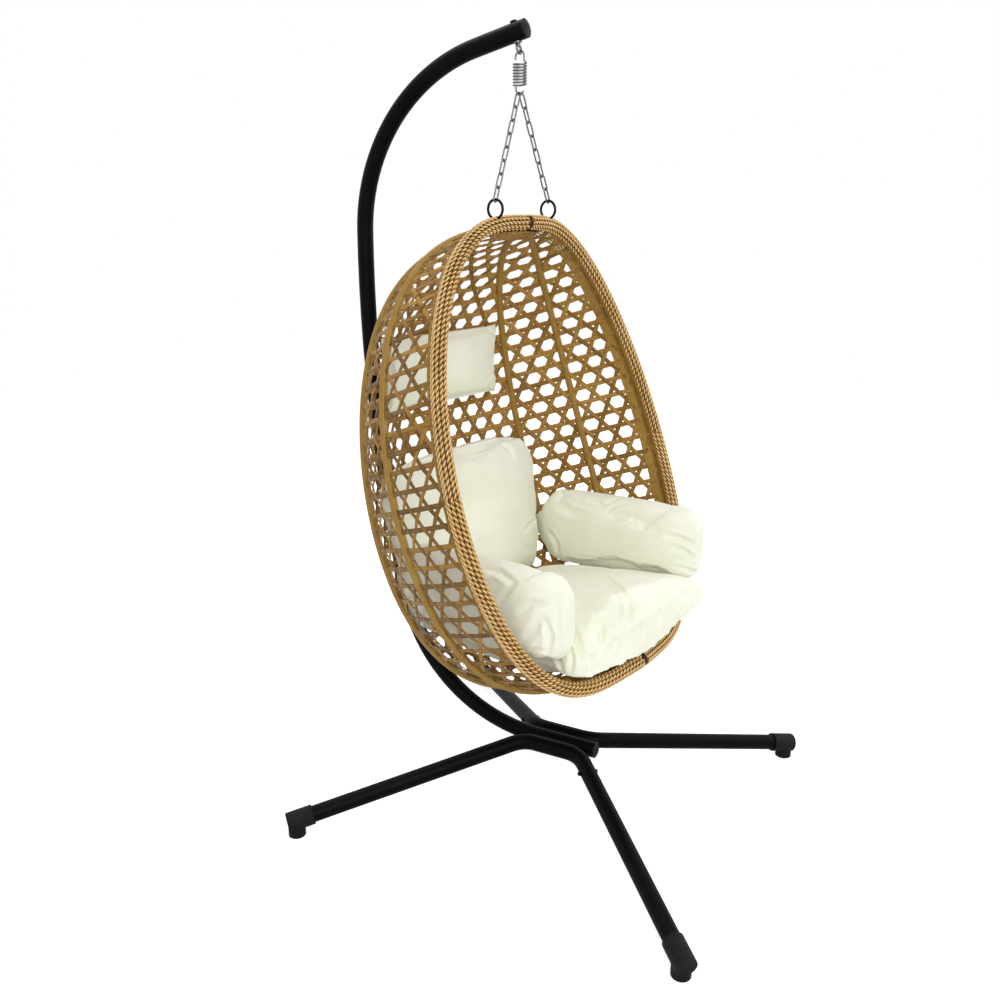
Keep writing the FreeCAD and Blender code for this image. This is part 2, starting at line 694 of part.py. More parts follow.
def namedHoop(name, angle=None):
    if angle is None:
        angle = size(name + "_angle")
    return Hoop(angle, size(name + "_reach"), size(name + "_skew"), size(name + "_square"))


rim = namedHoop("rim")
sideRib = namedHoop("side")
rearRib = namedHoop("rear")
backLine = namedHoop("back", 90.0)
farRear = namedHoop("rear", 180.0 - size("rear_angle"))

rimTube = size("rim_tube_od")
ribTube = size("rib_tube_od")
ribWrap = size("rib_wrap_od")
braidOd = size("braid_od")
frameWall = size("frame_wall")
wrapPlay = size("wrap_play")
MIRROR = Vector(1, 0, 0)
ORIGIN = Vector(0, 0, 0)


def pairOf(name, rightShape):
    # the right piece, as seen from the front, and its mirror image on the left
    shapeFeature("right_" + name, rightShape, hung)
    shapeFeature("left_" + name, rightShape.mirror(ORIGIN, MIRROR), hung)




def endRadius(clear, outer):
    # where a hoop's bar starts so that its leaning end stays this far from the middle plane
    return (clear + outer / 2 * sin(rim.angle)) / cos(rim.angle)


tubeGap = endRadius(seatPlay, rimTube)
rimBar = tubeAlong(rim.path(rim.turnAt(tubeGap, False), rim.turnAt(tubeGap, True)),
                   rimTube, rimTube - 2 * frameWall)
pairOf("rim_tube", rimBar)

# Hanging rings stand on the rim's tube and the plait closes round their feet
ringRadius = (size("ring_od") - size("ring_wire")) / 2
ringTurn = rim.turnAt(size("ring_half_space") / cos(rim.angle), True)
ringFoot = rim.point(ringTurn)
ringLift = (rimTube / 2 + size("ring_wire") / 2 + seatPlay) / rim.outward(ringTurn).z
ringCentre = ringFoot + Vector(0, 0, ringLift + ringRadius)
ring = Part.makeTorus(ringRadius, size("ring_wire") / 2, ringCentre, MIRROR)
ringRoom = Part.makeTorus(ringRadius, size("ring_wire") / 2 + hangPlay, ringCentre, MIRROR)

notchRadius = endRadius(size("braid_notch") / 2, braidOd)
braidStart = rim.turnAt(notchRadius, False)
braidEnd = rim.turnAt(notchRadius, True)
braid = tubeAlong(rim.path(braidStart, braidEnd), braidOd, rimTube + 2 * wrapPlay)
braid = braid.cut(ringRoom)
pairOf("rim_braid", braid)
pairOf("hanging_ring", ring)


def ribShapes(hoop):
    # a bare tube from hub to hub and the wound strand on it, both on finely divided paths
    bare = tubeAlong(hoop.path(hoop.turnAt(size("rib_start"), False),
                               hoop.turnAt(size("rib_start"), True), pieces=12),
                     ribTube, ribTube - 2 * frameWall)
    start = size("hub_reach") + hangPlay
    wrap = tubeAlong(hoop.path(hoop.turnAt(start, False), hoop.turnAt(start, True), pieces=12),
                     ribWrap, ribTube + 2 * size("rib_wrap_play"))
    return bare, wrap


for hoop, name in ((sideRib, "side_rib"), (rearRib, "rear_rib")):
    bare, wrap = ribShapes(hoop)
    pairOf(name, bare)
    pairOf(name + "_wrap", wrap)


def hubShape(top):
    # a sleeve over the two rim ends with a flat fan plate that the ribs end on
    pivot = topPivot if top else lowPivot
    inward = fanLine * (-1 if top else 1)
    halfLong = size("braid_notch") / 2 - hangPlay
    lean = math.tan(math.radians(rim.angle))
    drift = halfLong * lean / 2
    sleeve = Part.makeCylinder(size("hub_od") / 2, 2 * halfLong,
                               pivot + fanBack * drift - MIRROR * halfLong, MIRROR)
    levels = []
    for hoop in (sideRib, rearRib):
        for radius in (size("rib_start"), size("hub_reach")):
            level = hoop.rise(hoop.turnAt(radius, top))
            levels.append(fanLength - level if top else level)
    lift = max(levels) + ribTube / 2 + seatPlay
    reach = size("hub_reach")
    edge = (braidOd / 2 + hangPlay) / cos(rim.angle)
    side = edge * cos(rim.angle)
    first = rim.angle + math.degrees(math.asin(side / reach))

    def spot(across, back):
        return pivot + inward * lift + MIRROR * across + fanBack * back

    near = edge + halfLong * lean
    root = size("hub_od") / 4
    corners = [
        spot(-halfLong, root),
        spot(halfLong, root),
        spot(halfLong, near),
        spot(reach * cos(first), reach * sin(first)),
    ]
    others = [spot(-reach * cos(first), reach * sin(first)), spot(-halfLong, near)]
    edges = [Part.LineSegment(corners[k], corners[k + 1]).toShape() for k in range(3)]
    edges.append(Part.Arc(corners[3], spot(0, reach), others[0]).toShape())
    edges.append(Part.LineSegment(others[0], others[1]).toShape())
    edges.append(Part.LineSegment(others[1], corners[0]).toShape())
    plate = Part.Face(Part.Wire(edges)).extrude(inward * size("hub_wall"))
    hub = plate.fuse(sleeve).removeSplitter()
    tubeRoom = rimTube + 2 * (drift + seatPlay)
    return hub.cut(Part.makeCylinder(tubeRoom / 2, 4 * halfLong,
                                     pivot + fanBack * drift - MIRROR * 2 * halfLong, MIRROR))


topHub = hubShape(True)
bottomHub = hubShape(False)
shapeFeature("top_hub", topHub, hung)
shapeFeature("bottom_hub", bottomHub, hung)

# Woven walls: bent sheets between neighbouring hoops

sheetHalf = size("weave_thick") / 2


def bandWire(hoop, shift):
    # closed outline of the sheet where it is cut by this hoop's plane
    first = hoop.turnAt(size("weave_clear"), False)
    last = hoop.turnAt(size("weave_clear"), True)
    outer, ways = hoop.curve(first, last, sheetHalf, shift, 6)
    inner, ways = hoop.curve(first, last, -sheetHalf, shift, 6)
    edges = []
    for i in range(len(outer) - 1):
        edges += biarc(outer[i], ways[i], outer[i + 1], ways[i + 1])
    edges.append(Part.LineSegment(outer[-1], inner[-1]).toShape())
    for i in range(len(inner) - 1, 0, -1):
        edges += biarc(inner[i], ways[i] * -1, inner[i - 1], ways[i - 1] * -1)
    edges.append(Part.LineSegment(inner[0], outer[0]).toShape())
    return Part.Wire(edges)


def wallShape(sections):
    return Part.makeLoft([bandWire(hoop, shift) for hoop, shift in sections], True, False)


braidEdge = braidOd / 2 + size("weave_gap")
wrapEdge = ribWrap / 2 + size("weave_gap")
sideWall = wallShape([(rim, braidEdge), (between(rim, sideRib, 0.5), 0.0), (sideRib, -wrapEdge)])
pairOf("side_weave", sideWall)
rearWall = wallShape([(sideRib, wrapEdge), (between(sideRib, rearRib, 0.5), 0.0),
                      (rearRib, -wrapEdge)])
pairOf("rear_weave", rearWall)
backWall = wallShape([(rearRib, wrapEdge), (between(rearRib, backLine, 0.5), 0.0),
                      (backLine, 0.0), (between(backLine, farRear, 0.5), 0.0),
                      (farRear, -wrapEdge)])
shapeFeature("back_weave", backWall, hung)

# Chains: links from the spring's lower hook out to the two rings

linkWire = size("link_wire")
linkHalf = (size("link_width") - linkWire) / 2
linkCount = int(size("link_count"))
hookCentre = Vector(0, 0, lowerHookZ)
ringTop = ringCentre + Vector(0, 0, ringRadius)
chainWay = ringTop - hookCentre
chainWay.normalize()
chainFirst = hookCentre + chainWay * (coilRadius - hookWire / 2 - linkWire / 2 - hangPlay)
chainLast = ringTop + chainWay * ((size("ring_wire") + linkWire) / 2 + hangPlay)
linkStep = linkWire + hangPlay
linkLong = ((chainLast - chainFirst).Length + (linkCount - 1) * linkStep) / linkCount
foreAft = Vector(0, 1, 0) - chainWay * chainWay.y
foreAft.normalize()
sideways = foreAft.cross(chainWay)


def linkShape(number):
    # one oval link; odd links lie fore and aft, even links lie sideways
    middle = chainFirst + chainWay * ((number - 0.5) * linkLong - (number - 1) * linkStep)
    across = foreAft if number % 2 else sideways
    reach = linkLong / 2 - linkHalf
    near = middle - chainWay * reach
    far = middle + chainWay * reach
    a = near + across * linkHalf
    b = far + across * linkHalf
    c = far - across * linkHalf
    d = near - across * linkHalf
    edges = [
        Part.LineSegment(a, b).toShape(),
        Part.Arc(b, far + chainWay * linkHalf, c).toShape(),
        Part.LineSegment(c, d).toShape(),
        Part.Arc(d, near - chainWay * linkHalf, a).toShape(),
    ]
    return tubeAlong(Part.Wire(edges), linkWire)


links = [linkShape(i + 1) for i in range(linkCount)]
topPair = [links[0], links[0].mirror(ORIGIN, MIRROR)]
shapeFeature("top_links", Part.makeCompound(topPair), hung)
chain = Part.makeCompound(links[1:])
pairOf("chain", chain)

# Cushions: each a stack of soft outlines, closed at the ends

SIDE_FULLNESS = 0.7     # how far a cushion's side stands out, as a share of its half depth there


def softOutline(middle, across, up, halfWidth, crown, belly, edge):
    # crowned outline with short rounded sides; crown and belly are measured at the middle
    left = middle - across * halfWidth
    right = middle + across * halfWidth
    bulge = edge * SIDE_FULLNESS
    edges = [
        Part.Arc(left + up * edge, middle + up * crown, right + up * edge).toShape(),
        Part.Arc(right + up * edge, right + across * bulge, right - up * edge).toShape(),
        Part.Arc(right - up * edge, middle - up * belly, left - up * edge).toShape(),
        Part.Arc(left - up * edge, left - across * bulge, left + up * edge).toShape(),
    ]
    return Part.Wire(edges)


def softBody(rows, start, finish, across, up, halfWidth, crown, belly, edge):
    # a row gives its place along the body, and its shares of the width, crown, belly and edge
    outlines = []
    for along, widthShare, crownShare, bellyShare, edgeShare in rows:
        middle = start + (finish - start) * along
        outlines.append(softOutline(middle, across, up, halfWidth * widthShare,
                                    crown * crownShare, belly * bellyShare, edge * edgeShare))
    return Part.makeLoft(outlines, True, False)


UP = Vector(0, 0, 1)
FRONT = Vector(0, -1, 0)

SEAT_ROWS = [
    (0.0, 0.84, 0.52, 0.24, 0.36), (0.12, 0.95, 0.81, 0.62, 0.57), (0.37, 0.97, 1.08, 0.94, 0.80),
    (0.64, 0.98, 1.18, 0.93, 0.98), (0.85, 0.99, 1.14, 0.648, 1.08), (0.94, 0.98, 0.96, 0.50, 1.12),
    (1.0, 0.93, 0.62, 0.44, 0.92),
]
seat = softBody(SEAT_ROWS, Vector(0, size("seat_back_y"), size("seat_back_seam")),
                Vector(0, size("seat_front_y"), size("seat_front_seam")), MIRROR, UP,
                size("seat_half_width"), size("seat_crown"), size("seat_belly"), size("seat_edge"))
shapeFeature("seat_cushion", seat, hung)

ARM_ROWS = [
    (0.0, 0.45, 0.12, 0.12, 0.10), (0.05, 0.70, 0.34, 0.30, 0.16), (0.13, 1.04, 0.72, 0.62, 0.46),
    (0.32, 1.10, 0.97, 0.95, 0.82), (0.64, 1.01, 1.0, 1.0, 1.0), (0.85, 0.94, 0.97, 0.97, 0.95),
    (0.95, 0.79, 0.80, 0.80, 0.76), (1.0, 0.50, 0.48, 0.48, 0.43),
]
arm = softBody(ARM_ROWS, Vector(size("arm_back_x"), size("arm_back_y"), size("arm_back_z")),
               Vector(size("arm_front_x"), size("arm_front_y"), size("arm_front_z")), UP,
               MIRROR * -1, size("arm_half_tall"), size("arm_half_thick"), size("arm_half_thick"),
               size("arm_edge"))
pairOf("arm_cushion", arm)

BACK_ROWS = [
    (0.0, 0.80, 0.20, 0.28, 0.28), (0.12, 0.90, 0.62, 0.70, 0.78), (0.34, 0.98, 0.95, 0.95, 1.0),
    (0.54, 1.02, 1.0, 1.0, 1.0), (0.76, 1.04, 0.88, 0.88, 0.92), (0.89, 1.0, 0.62, 0.68, 0.66),
    (0.96, 0.86, 0.36, 0.46, 0.44), (1.0, 0.60, 0.14, 0.24, 0.24),
]
back = softBody(BACK_ROWS, Vector(0, size("back_low_y"), size("back_low_z")),
                Vector(0, size("back_top_y"), size("back_top_z")), MIRROR, FRONT,
                size("back_half_width"), size("back_crown"), size("back_rear"), size("back_edge"))
shapeFeature("back_cushion", back, hung)

PILLOW_ROWS = [
    (0.0, 1.0, 0.16, 0.25, 0.40), (0.11, 0.98, 0.52, 0.58, 0.70), (0.28, 0.945, 0.89, 0.92, 0.90),
    (0.50, 0.93, 1.0, 1.0, 1.0), (0.72, 0.945, 0.89, 0.92, 0.90), (0.89, 0.98, 0.52, 0.58, 0.70),
    (1.0, 1.0, 0.16, 0.25, 0.40),
]
pillow = softBody(PILLOW_ROWS, Vector(0, size("pillow_y"), size("pillow_low_z")),
                  Vector(0, size("pillow_y"), size("pillow_top_z")), MIRROR, FRONT,
                  size("pillow_half_width"), size("pillow_crown"), size("pillow_rear"),
                  size("pillow_edge"))
pillowMiddle = Vector(0, size("pillow_y"), (size("pillow_low_z") + size("pillow_top_z")) / 2)
pillow.rotate(pillowMiddle, FRONT, size("pillow_tilt"))    # it hangs a little askew
shapeFeature("head_pillow", pillow, hung)

# The part's origin is under the middle of the whole stand, on the floor

doc.recompute()
spineCentre = mastEdges(runs[:2], tail, 0)[1] + mastPoint(size("low_turn") + 90) * size("spine_bend")
rearmost = spineCentre.y + size("spine_bend") + tubeOd / 2
frontmost = min(item.Shape.BoundBox.YMin for item in parts if item.Label.endswith("boot"))
middleY = (rearmost + frontmost) / 2
for item in parts:
    place = item.Placement
    place.Base = place.Base - Vector(0, middleY, 0)
    item.Placement = place
doc.recompute()

for item in doc.Objects:
    if "Invalid" in item.State or "Error" in item.State:
        raise RuntimeError("%s could not be built" % item.Name)
for item in parts:
    if item.Shape.isNull() or not item.Shape.isValid() or not item.Shape.Solids:
        raise RuntimeError("%s is not a sound solid" % item.Label)

os.makedirs("parts", exist_ok=True)
for item in parts:
    item.Shape.exportStep("parts/%s.step" % item.Label)
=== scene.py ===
import json
import math

import bmesh
import bpy
import numpy as np
from mathutils import Matrix, Vector
from mathutils.bvhtree import BVHTree


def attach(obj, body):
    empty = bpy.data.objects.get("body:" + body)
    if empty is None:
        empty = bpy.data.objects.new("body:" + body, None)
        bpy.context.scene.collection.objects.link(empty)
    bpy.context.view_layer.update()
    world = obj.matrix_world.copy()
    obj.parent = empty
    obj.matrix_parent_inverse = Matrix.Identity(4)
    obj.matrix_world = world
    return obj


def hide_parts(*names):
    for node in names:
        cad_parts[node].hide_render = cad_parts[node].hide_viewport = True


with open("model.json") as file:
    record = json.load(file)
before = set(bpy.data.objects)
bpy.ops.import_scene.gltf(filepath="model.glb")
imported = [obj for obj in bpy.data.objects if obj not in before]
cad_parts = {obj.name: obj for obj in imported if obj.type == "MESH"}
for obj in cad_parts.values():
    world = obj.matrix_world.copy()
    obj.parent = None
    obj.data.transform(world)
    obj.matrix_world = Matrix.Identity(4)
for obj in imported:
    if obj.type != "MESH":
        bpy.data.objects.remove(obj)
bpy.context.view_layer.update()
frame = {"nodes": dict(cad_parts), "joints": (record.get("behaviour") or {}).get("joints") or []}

nodes = frame["nodes"]
mm = 0.001
print("frame loaded:", len(nodes), "nodes")

# Camera where the photograph was taken from, floor, backdrop and soft studio lamps

cameraPlace = {
    "point": (-2.10639, -0.973461, 1.51530),
    "yaw": -1.08029,        # radians, turned from +Y towards -X when positive
    "pitch": 0.28525,       # looking down
    "roll": -0.0017,
    "focalPixels": 954.7,
    "imagePixels": 1000.0,  # width and height of the photograph
    "sensor": 36.0,
}


def placeCamera(place):
    yaw, pitch, roll = place["yaw"], place["pitch"], place["roll"]
    forward = Vector((-math.sin(yaw) * math.cos(pitch), math.cos(yaw) * math.cos(pitch),
                      -math.sin(pitch)))
    level = Vector((math.cos(yaw), math.sin(yaw), 0.0))
    rise = level.cross(forward)
    right = math.cos(roll) * level + math.sin(roll) * rise
    up = -math.sin(roll) * level + math.cos(roll) * rise
    data = bpy.data.cameras.new("photographCamera")
    data.sensor_width = place["sensor"]
    data.lens = place["focalPixels"] / place["imagePixels"] * place["sensor"]
    data.clip_start, data.clip_end = 0.05, 60.0
    camera = bpy.data.objects.new("photographCamera", data)
    camera.matrix_world = Matrix((
        (right.x, up.x, -forward.x, place["point"][0]),
        (right.y, up.y, -forward.y, place["point"][1]),
        (right.z, up.z, -forward.z, place["point"][2]),
        (0, 0, 0, 1)))
    bpy.context.scene.collection.objects.link(camera)
    bpy.context.scene.camera = camera


placeCamera(cameraPlace)


def linearFromHex(code):
    # sRGB hex to the linear colour that the shaders take
    parts = [int(code[i:i + 2], 16) / 255.0 for i in (1, 3, 5)]
    linear = [c / 12.92 if c <= 0.04045 else ((c + 0.055) / 1.055) ** 2.4 for c in parts]
    return (*linear, 1.0)


def addNode(tree, kind, settings=None, links=None):
    # one node: its properties, socket values or colour stops, and what feeds its sockets
    node = tree.nodes.new(kind)
    for key, value in (settings or {}).items():
        if key == "stops":
            elements = node.color_ramp.elements
            while len(elements) < len(value):
                elements.new(0.5)
            for element, (position, code) in zip(elements, value):
                element.position = position
                element.color = linearFromHex(code)
        elif isinstance(key, str) and hasattr(node, key) and key not in node.inputs:
            setattr(node, key, value)
        else:
            node.inputs[key].default_value = value
    for key, source in (links or {}).items():
        tree.links.new(source, node.inputs[key])
    return node


def newMaterial(name):
    material = bpy.data.materials.new(name)
    material.use_nodes = True
    material.node_tree.nodes.clear()
    return material, material.node_tree


studio = {
    "floorTone": "#F2F2F0",
    "floorGlow": 0.55,      # seen by the camera alone, so that the floor reads nearly white
    "floorSize": 14.0,
    "backdropTone": "#FFFFFF",
    "worldStrength": 0.62,
    "lamps": [
        # name, place, aimed at, width, watts
        ("windowLamp", (-3.4, -2.6, 3.4), (0.0, 0.0, 0.9), 2.6, 95.0),
        ("fillLamp", (2.8, -3.4, 2.0), (0.0, 0.0, 0.9), 2.4, 42.0),
        ("topLamp", (0.3, 1.2, 4.4), (0.0, 0.1, 0.9), 2.6, 52.0),
    ],
}


def makeStudio(settings):
    material, tree = newMaterial("paleStudioFloor")
    paint = addNode(tree, "ShaderNodeBsdfDiffuse",
                    {"Color": linearFromHex(settings["floorTone"]), "Roughness": 0.4})
    glow = addNode(tree, "ShaderNodeEmission",
                   {"Color": linearFromHex(settings["backdropTone"]),
                    "Strength": settings["floorGlow"]})
    shadowed = addNode(tree, "ShaderNodeAddShader", {}, {0: paint.outputs[0], 1: glow.outputs[0]})
    rays = addNode(tree, "ShaderNodeLightPath")
    mixed = addNode(tree, "ShaderNodeMixShader", {},
                    {0: rays.outputs["Is Camera Ray"], 1: paint.outputs[0], 2: shadowed.outputs[0]})
    addNode(tree, "ShaderNodeOutputMaterial", {}, {"Surface": mixed.outputs[0]})
    half = settings["floorSize"] / 2
    mesh = bpy.data.meshes.new("studioFloor")
    mesh.from_pydata([(-half, -half, 0), (half, -half, 0), (half, half, 0), (-half, half, 0)],
                     [], [(0, 1, 2, 3)])
    mesh.materials.append(material)
    floor = bpy.data.objects.new("studioFloor", mesh)
    bpy.context.scene.collection.objects.link(floor)

    world = bpy.data.worlds.new("softStudio")
    world.use_nodes = True
    tree = world.node_tree
    tree.nodes.clear()
    rays = addNode(tree, "ShaderNodeLightPath")
    seen = addNode(tree, "ShaderNodeMath", {"operation": "MAXIMUM"},
                   {0: rays.outputs["Is Camera Ray"], 1: rays.outputs["Is Glossy Ray"]})
    seen = addNode(tree, "ShaderNodeMath", {"operation": "MAXIMUM"},
                   {0: seen.outputs[0], 1: rays.outputs["Is Transmission Ray"]})
    shown = addNode(tree, "ShaderNodeBackground",
                    {"Color": linearFromHex(settings["backdropTone"]), "Strength": 1.0})
    lit = addNode(tree, "ShaderNodeBackground",
                  {"Color": linearFromHex(settings["backdropTone"]),
                   "Strength": settings["worldStrength"]})
    mixed = addNode(tree, "ShaderNodeMixShader", {},
                    {0: seen.outputs[0], 1: lit.outputs[0], 2: shown.outputs[0]})
    addNode(tree, "ShaderNodeOutputWorld", {}, {"Surface": mixed.outputs[0]})
    bpy.context.scene.world = world

    for name, place, aim, width, watts in settings["lamps"]:
        data = bpy.data.lights.new(name, "AREA")
        data.shape = "SQUARE"
        data.size = width
        data.energy = watts
        lamp = bpy.data.objects.new(name, data)
        lamp.location = place
        lamp.rotation_euler = (Vector(aim) - Vector(place)).to_track_quat("-Z", "Y").to_euler()
        bpy.context.scene.collection.objects.link(lamp)


makeStudio(studio)
bpy.context.scene.view_settings.view_transform = "Standard"
print("studio and camera ready")

# Finishes of the stand and its hardware


def powderCoat(name, dark, light, roughness, grain):
    # sprayed and baked polyester powder: satin, with a faint orange peel and soft, low highlights
    material, tree = newMaterial(name)
    place = addNode(tree, "ShaderNodeTexCoord").outputs["Object"]
    peel = addNode(tree, "ShaderNodeTexNoise", {"Scale": 1.0 / (grain * mm), "Detail": 2.0},
                   {"Vector": place})
    drift = addNode(tree, "ShaderNodeTexNoise", {"Scale": 9.0, "Detail": 3.0}, {"Vector": place})
    tone = addNode(tree, "ShaderNodeValToRGB", {"stops": [(0.3, dark), (0.75, light)]},
                   {"Fac": drift.outputs["Fac"]})
    bump = addNode(tree, "ShaderNodeBump", {"Distance": 0.4 * mm, "Strength": 0.25},
                   {"Height": peel.outputs["Fac"]})
    skin = addNode(tree, "ShaderNodeBsdfPrincipled",
                   {"Roughness": roughness, "IOR": 1.5, "Specular IOR Level": 0.07},
                   {"Base Color": tone.outputs["Color"], "Normal": bump.outputs["Normal"]})
    addNode(tree, "ShaderNodeOutputMaterial", {}, {"Surface": skin.outputs[0]})
    return material


def platedSteel(name, dark, light, roughness):
    # electroplated zinc on drawn wire: grey metal, bright towards the light, slightly mottled
    material, tree = newMaterial(name)
    place = addNode(tree, "ShaderNodeTexCoord").outputs["Object"]
    mottle = addNode(tree, "ShaderNodeTexNoise", {"Scale": 220.0, "Detail": 4.0, "Roughness": 0.6},
                     {"Vector": place}).outputs["Fac"]
    tone = addNode(tree, "ShaderNodeValToRGB", {"stops": [(0.3, dark), (0.7, light)]},
                   {"Fac": mottle})
    gloss = addNode(tree, "ShaderNodeMapRange",
                    {"To Min": roughness - 0.06, "To Max": roughness + 0.1}, {"Value": mottle})
    bump = addNode(tree, "ShaderNodeBump", {"Distance": 0.2 * mm, "Strength": 0.3},
                   {"Height": mottle})
    skin = addNode(tree, "ShaderNodeBsdfPrincipled", {"Metallic": 1.0},
                   {"Base Color": tone.outputs["Color"], "Roughness": gloss.outputs["Result"],
                    "Normal": bump.outputs["Normal"]})
    addNode(tree, "ShaderNodeOutputMaterial", {}, {"Surface": skin.outputs[0]})
    return material


def mouldedPolymer(name, dark, light, roughness, grain):
    # injection moulded cap or foot: fine spark-eroded texture, no gloss
    material, tree = newMaterial(name)
    place = addNode(tree, "ShaderNodeTexCoord").outputs["Object"]
    texture = addNode(tree, "ShaderNodeTexNoise",
                      {"Scale": 1.0 / (grain * mm), "Detail": 3.0, "Roughness": 0.7},
                      {"Vector": place})
    drift = addNode(tree, "ShaderNodeTexNoise", {"Scale": 40.0, "Detail": 3.0}, {"Vector": place})
    tone = addNode(tree, "ShaderNodeValToRGB", {"stops": [(0.3, dark), (0.7, light)]},
                   {"Fac": drift.outputs["Fac"]})
    bump = addNode(tree, "ShaderNodeBump", {"Distance": 0.3 * mm, "Strength": 0.5},
                   {"Height": texture.outputs["Fac"]})
    skin = addNode(tree, "ShaderNodeBsdfPrincipled",
                   {"Roughness": roughness, "IOR": 1.46, "Specular IOR Level": 0.2},
                   {"Base Color": tone.outputs["Color"], "Normal": bump.outputs["Normal"]})
    addNode(tree, "ShaderNodeOutputMaterial", {}, {"Surface": skin.outputs[0]})
    return material


blackPowder = powderCoat("blackPowderCoat", "#030304", "#070708", 0.44, 1.6)
blackFixing = powderCoat("blackOxideSteel", "#0A0A0B", "#121214", 0.4, 1.2)
ringSteel = powderCoat("blackEnamelRing", "#0A0B0E", "#15171B", 0.26, 2.0)
brownPowder = powderCoat("brownPowderCoat", "#2E1D0D", "#40291A", 0.5, 1.6)
zincPlate = platedSteel("brightZincPlate", "#5E6163", "#8B8F91", 0.34)
bareTube = platedSteel("plainDrawnSteel", "#3A3B3D", "#4A4B4D", 0.42)
capPlastic = mouldedPolymer("mouldedPolyethyleneCap", "#0D0E10", "#16171A", 0.5, 1.5)
bootRubber = mouldedPolymer("mouldedRubberFoot", "#0B0C0D", "#141416", 0.62, 1.5)

standFinishes = {
    "lower_mast": blackPowder, "upper_mast": blackPowder, "mast_joint_sleeve": bareTube,
    "left_leg_socket": blackPowder, "right_leg_socket": blackPowder,
    "front_left_leg": blackPowder, "front_right_leg": blackPowder,
    "rear_left_leg": blackPowder, "rear_right_leg": blackPowder,
    "mast_joint_bolts": blackFixing, "mast_joint_nuts": blackFixing,
    "leg_bolts": blackFixing, "leg_nuts": blackFixing,
    "front_left_boot": bootRubber, "front_right_boot": bootRubber,
    "rear_left_boot": bootRubber, "rear_right_boot": bootRubber,
    "mast_top_cap": capPlastic, "mast_tail_cap": capPlastic,
    "eye_bolt": zincPlate, "eye_bolt_washer": zincPlate, "eye_bolt_nut": blackFixing,
    "spring": zincPlate, "top_links": zincPlate, "left_chain": zincPlate, "right_chain": zincPlate,
    "left_hanging_ring": ringSteel, "right_hanging_ring": ringSteel,
    "top_hub": brownPowder, "bottom_hub": brownPowder,
    "left_rim_tube": brownPowder, "right_rim_tube": brownPowder,
    "left_side_rib": brownPowder, "right_side_rib": brownPowder,
    "left_rear_rib": brownPowder, "right_rear_rib": brownPowder,
}
for name, material in standFinishes.items():
    data = nodes[name].data
    data.materials.clear()
    data.materials.append(material)
print("stand finished:", len(standFinishes), "nodes")

# The basket's hoops: half rings that open like a fan about the line between the two hubs

# degrees about that line, from the sitter's right round the back to the left
fan = {"rightRim": 7.8, "rightSide": 34.5, "rightRear": 53.9, "back": 90.0,
       "leftRear": 126.1, "leftSide": 145.5, "leftRim": 172.2}
# turn: degrees that it hangs turned by; hangY: the hook it hangs from
# the rows of reach, skew and square follow the fan's order
basket = {
    "turn": -9.5, "hangY": frame["joints"][0]["pos_m"][1],
    "lowPivot": (0.0, -0.377, 0.480), "topPivot": (0.0, -0.023, 1.5105), "round": 0.07,
    "reach": (0.442, 0.487, 0.549, 0.505, 0.549, 0.487, 0.442),
    "skew": (0.0925, 0.0676, 0.084, 0.084, 0.084, 0.0676, 0.0925),
    "square": (-0.085, -0.04, -0.031, -0.031, -0.031, -0.04, -0.085),
}
lowPivot = np.array(basket["lowPivot"])
fanLine = np.array(basket["topPivot"]) - lowPivot
fanLength = float(np.linalg.norm(fanLine))
fanLine = fanLine / fanLength
fanBack = np.array((0.0, fanLine[2], -fanLine[1]))
fanSide = np.array((1.0, 0.0, 0.0))
hoopAngles = np.radians(list(fan.values()))
smallTurn = 1e-3            # radians to either side of a place, for its slope


def swell(turn, skew, square):
    # sine plus a lean towards one end and a squaring of the belly
    return np.sin(turn) + skew * np.sin(2 * turn) + square * np.sin(3 * turn)


def hoopScaleTable():
    # what each hoop's swell is multiplied by so that its belly is at its reach
    angles = np.linspace(hoopAngles[0], hoopAngles[-1], 240)
    turns = np.linspace(0, np.pi, 241)[None, :]
    skew = np.interp(angles, hoopAngles, basket["skew"])[:, None]
    square = np.interp(angles, hoopAngles, basket["square"])[:, None]
    reach = np.interp(angles, hoopAngles, basket["reach"])
    return angles, reach / swell(turns, skew, square).max(axis=1)


scaleAngles, scaleValues = hoopScaleTable()


def hoopRadius(angle, turn):
    skew = np.interp(angle, hoopAngles, basket["skew"])
    square = np.interp(angle, hoopAngles, basket["square"])
    return np.interp(angle, scaleAngles, scaleValues) * swell(turn, skew, square)


def wallPoint(angle, turn):
    # low hub + climb along the fan line + reach away from it at the fan angle
    angle, turn = np.broadcast_arrays(np.asarray(angle, float), np.asarray(turn, float))
    share = (1 - np.cos(turn)) / 2 + basket["round"] * (np.cos(3 * turn) - np.cos(turn))
    away = np.cos(angle)[..., None] * fanSide + np.sin(angle)[..., None] * fanBack
    climb = fanLength * share[..., None]
    return lowPivot + climb * fanLine + hoopRadius(angle, turn)[..., None] * away


def unit(vectors):
    return vectors / np.maximum(np.linalg.norm(vectors, axis=-1, keepdims=True), 1e-12)


def wallOutward(angle, turn):
    # across the two directions that the surface runs in, away from the sitter
    alongFan = wallPoint(angle + smallTurn, turn) - wallPoint(angle - smallTurn, turn)
    alongHoop = wallPoint(angle, turn + smallTurn) - wallPoint(angle, turn - smallTurn)
    return -unit(np.cross(alongHoop, alongFan))


def toRow(points):
    # from the basket's own square position to its place under the hook
    spin = math.radians(basket["turn"])
    c, s = math.cos(spin), math.sin(spin)
    turned = np.array(points, float)
    x, y = points[..., 0], points[..., 1]
    turned[..., 0] = c * x - s * y
    turned[..., 1] = s * x + c * y + basket["hangY"]
    return turned


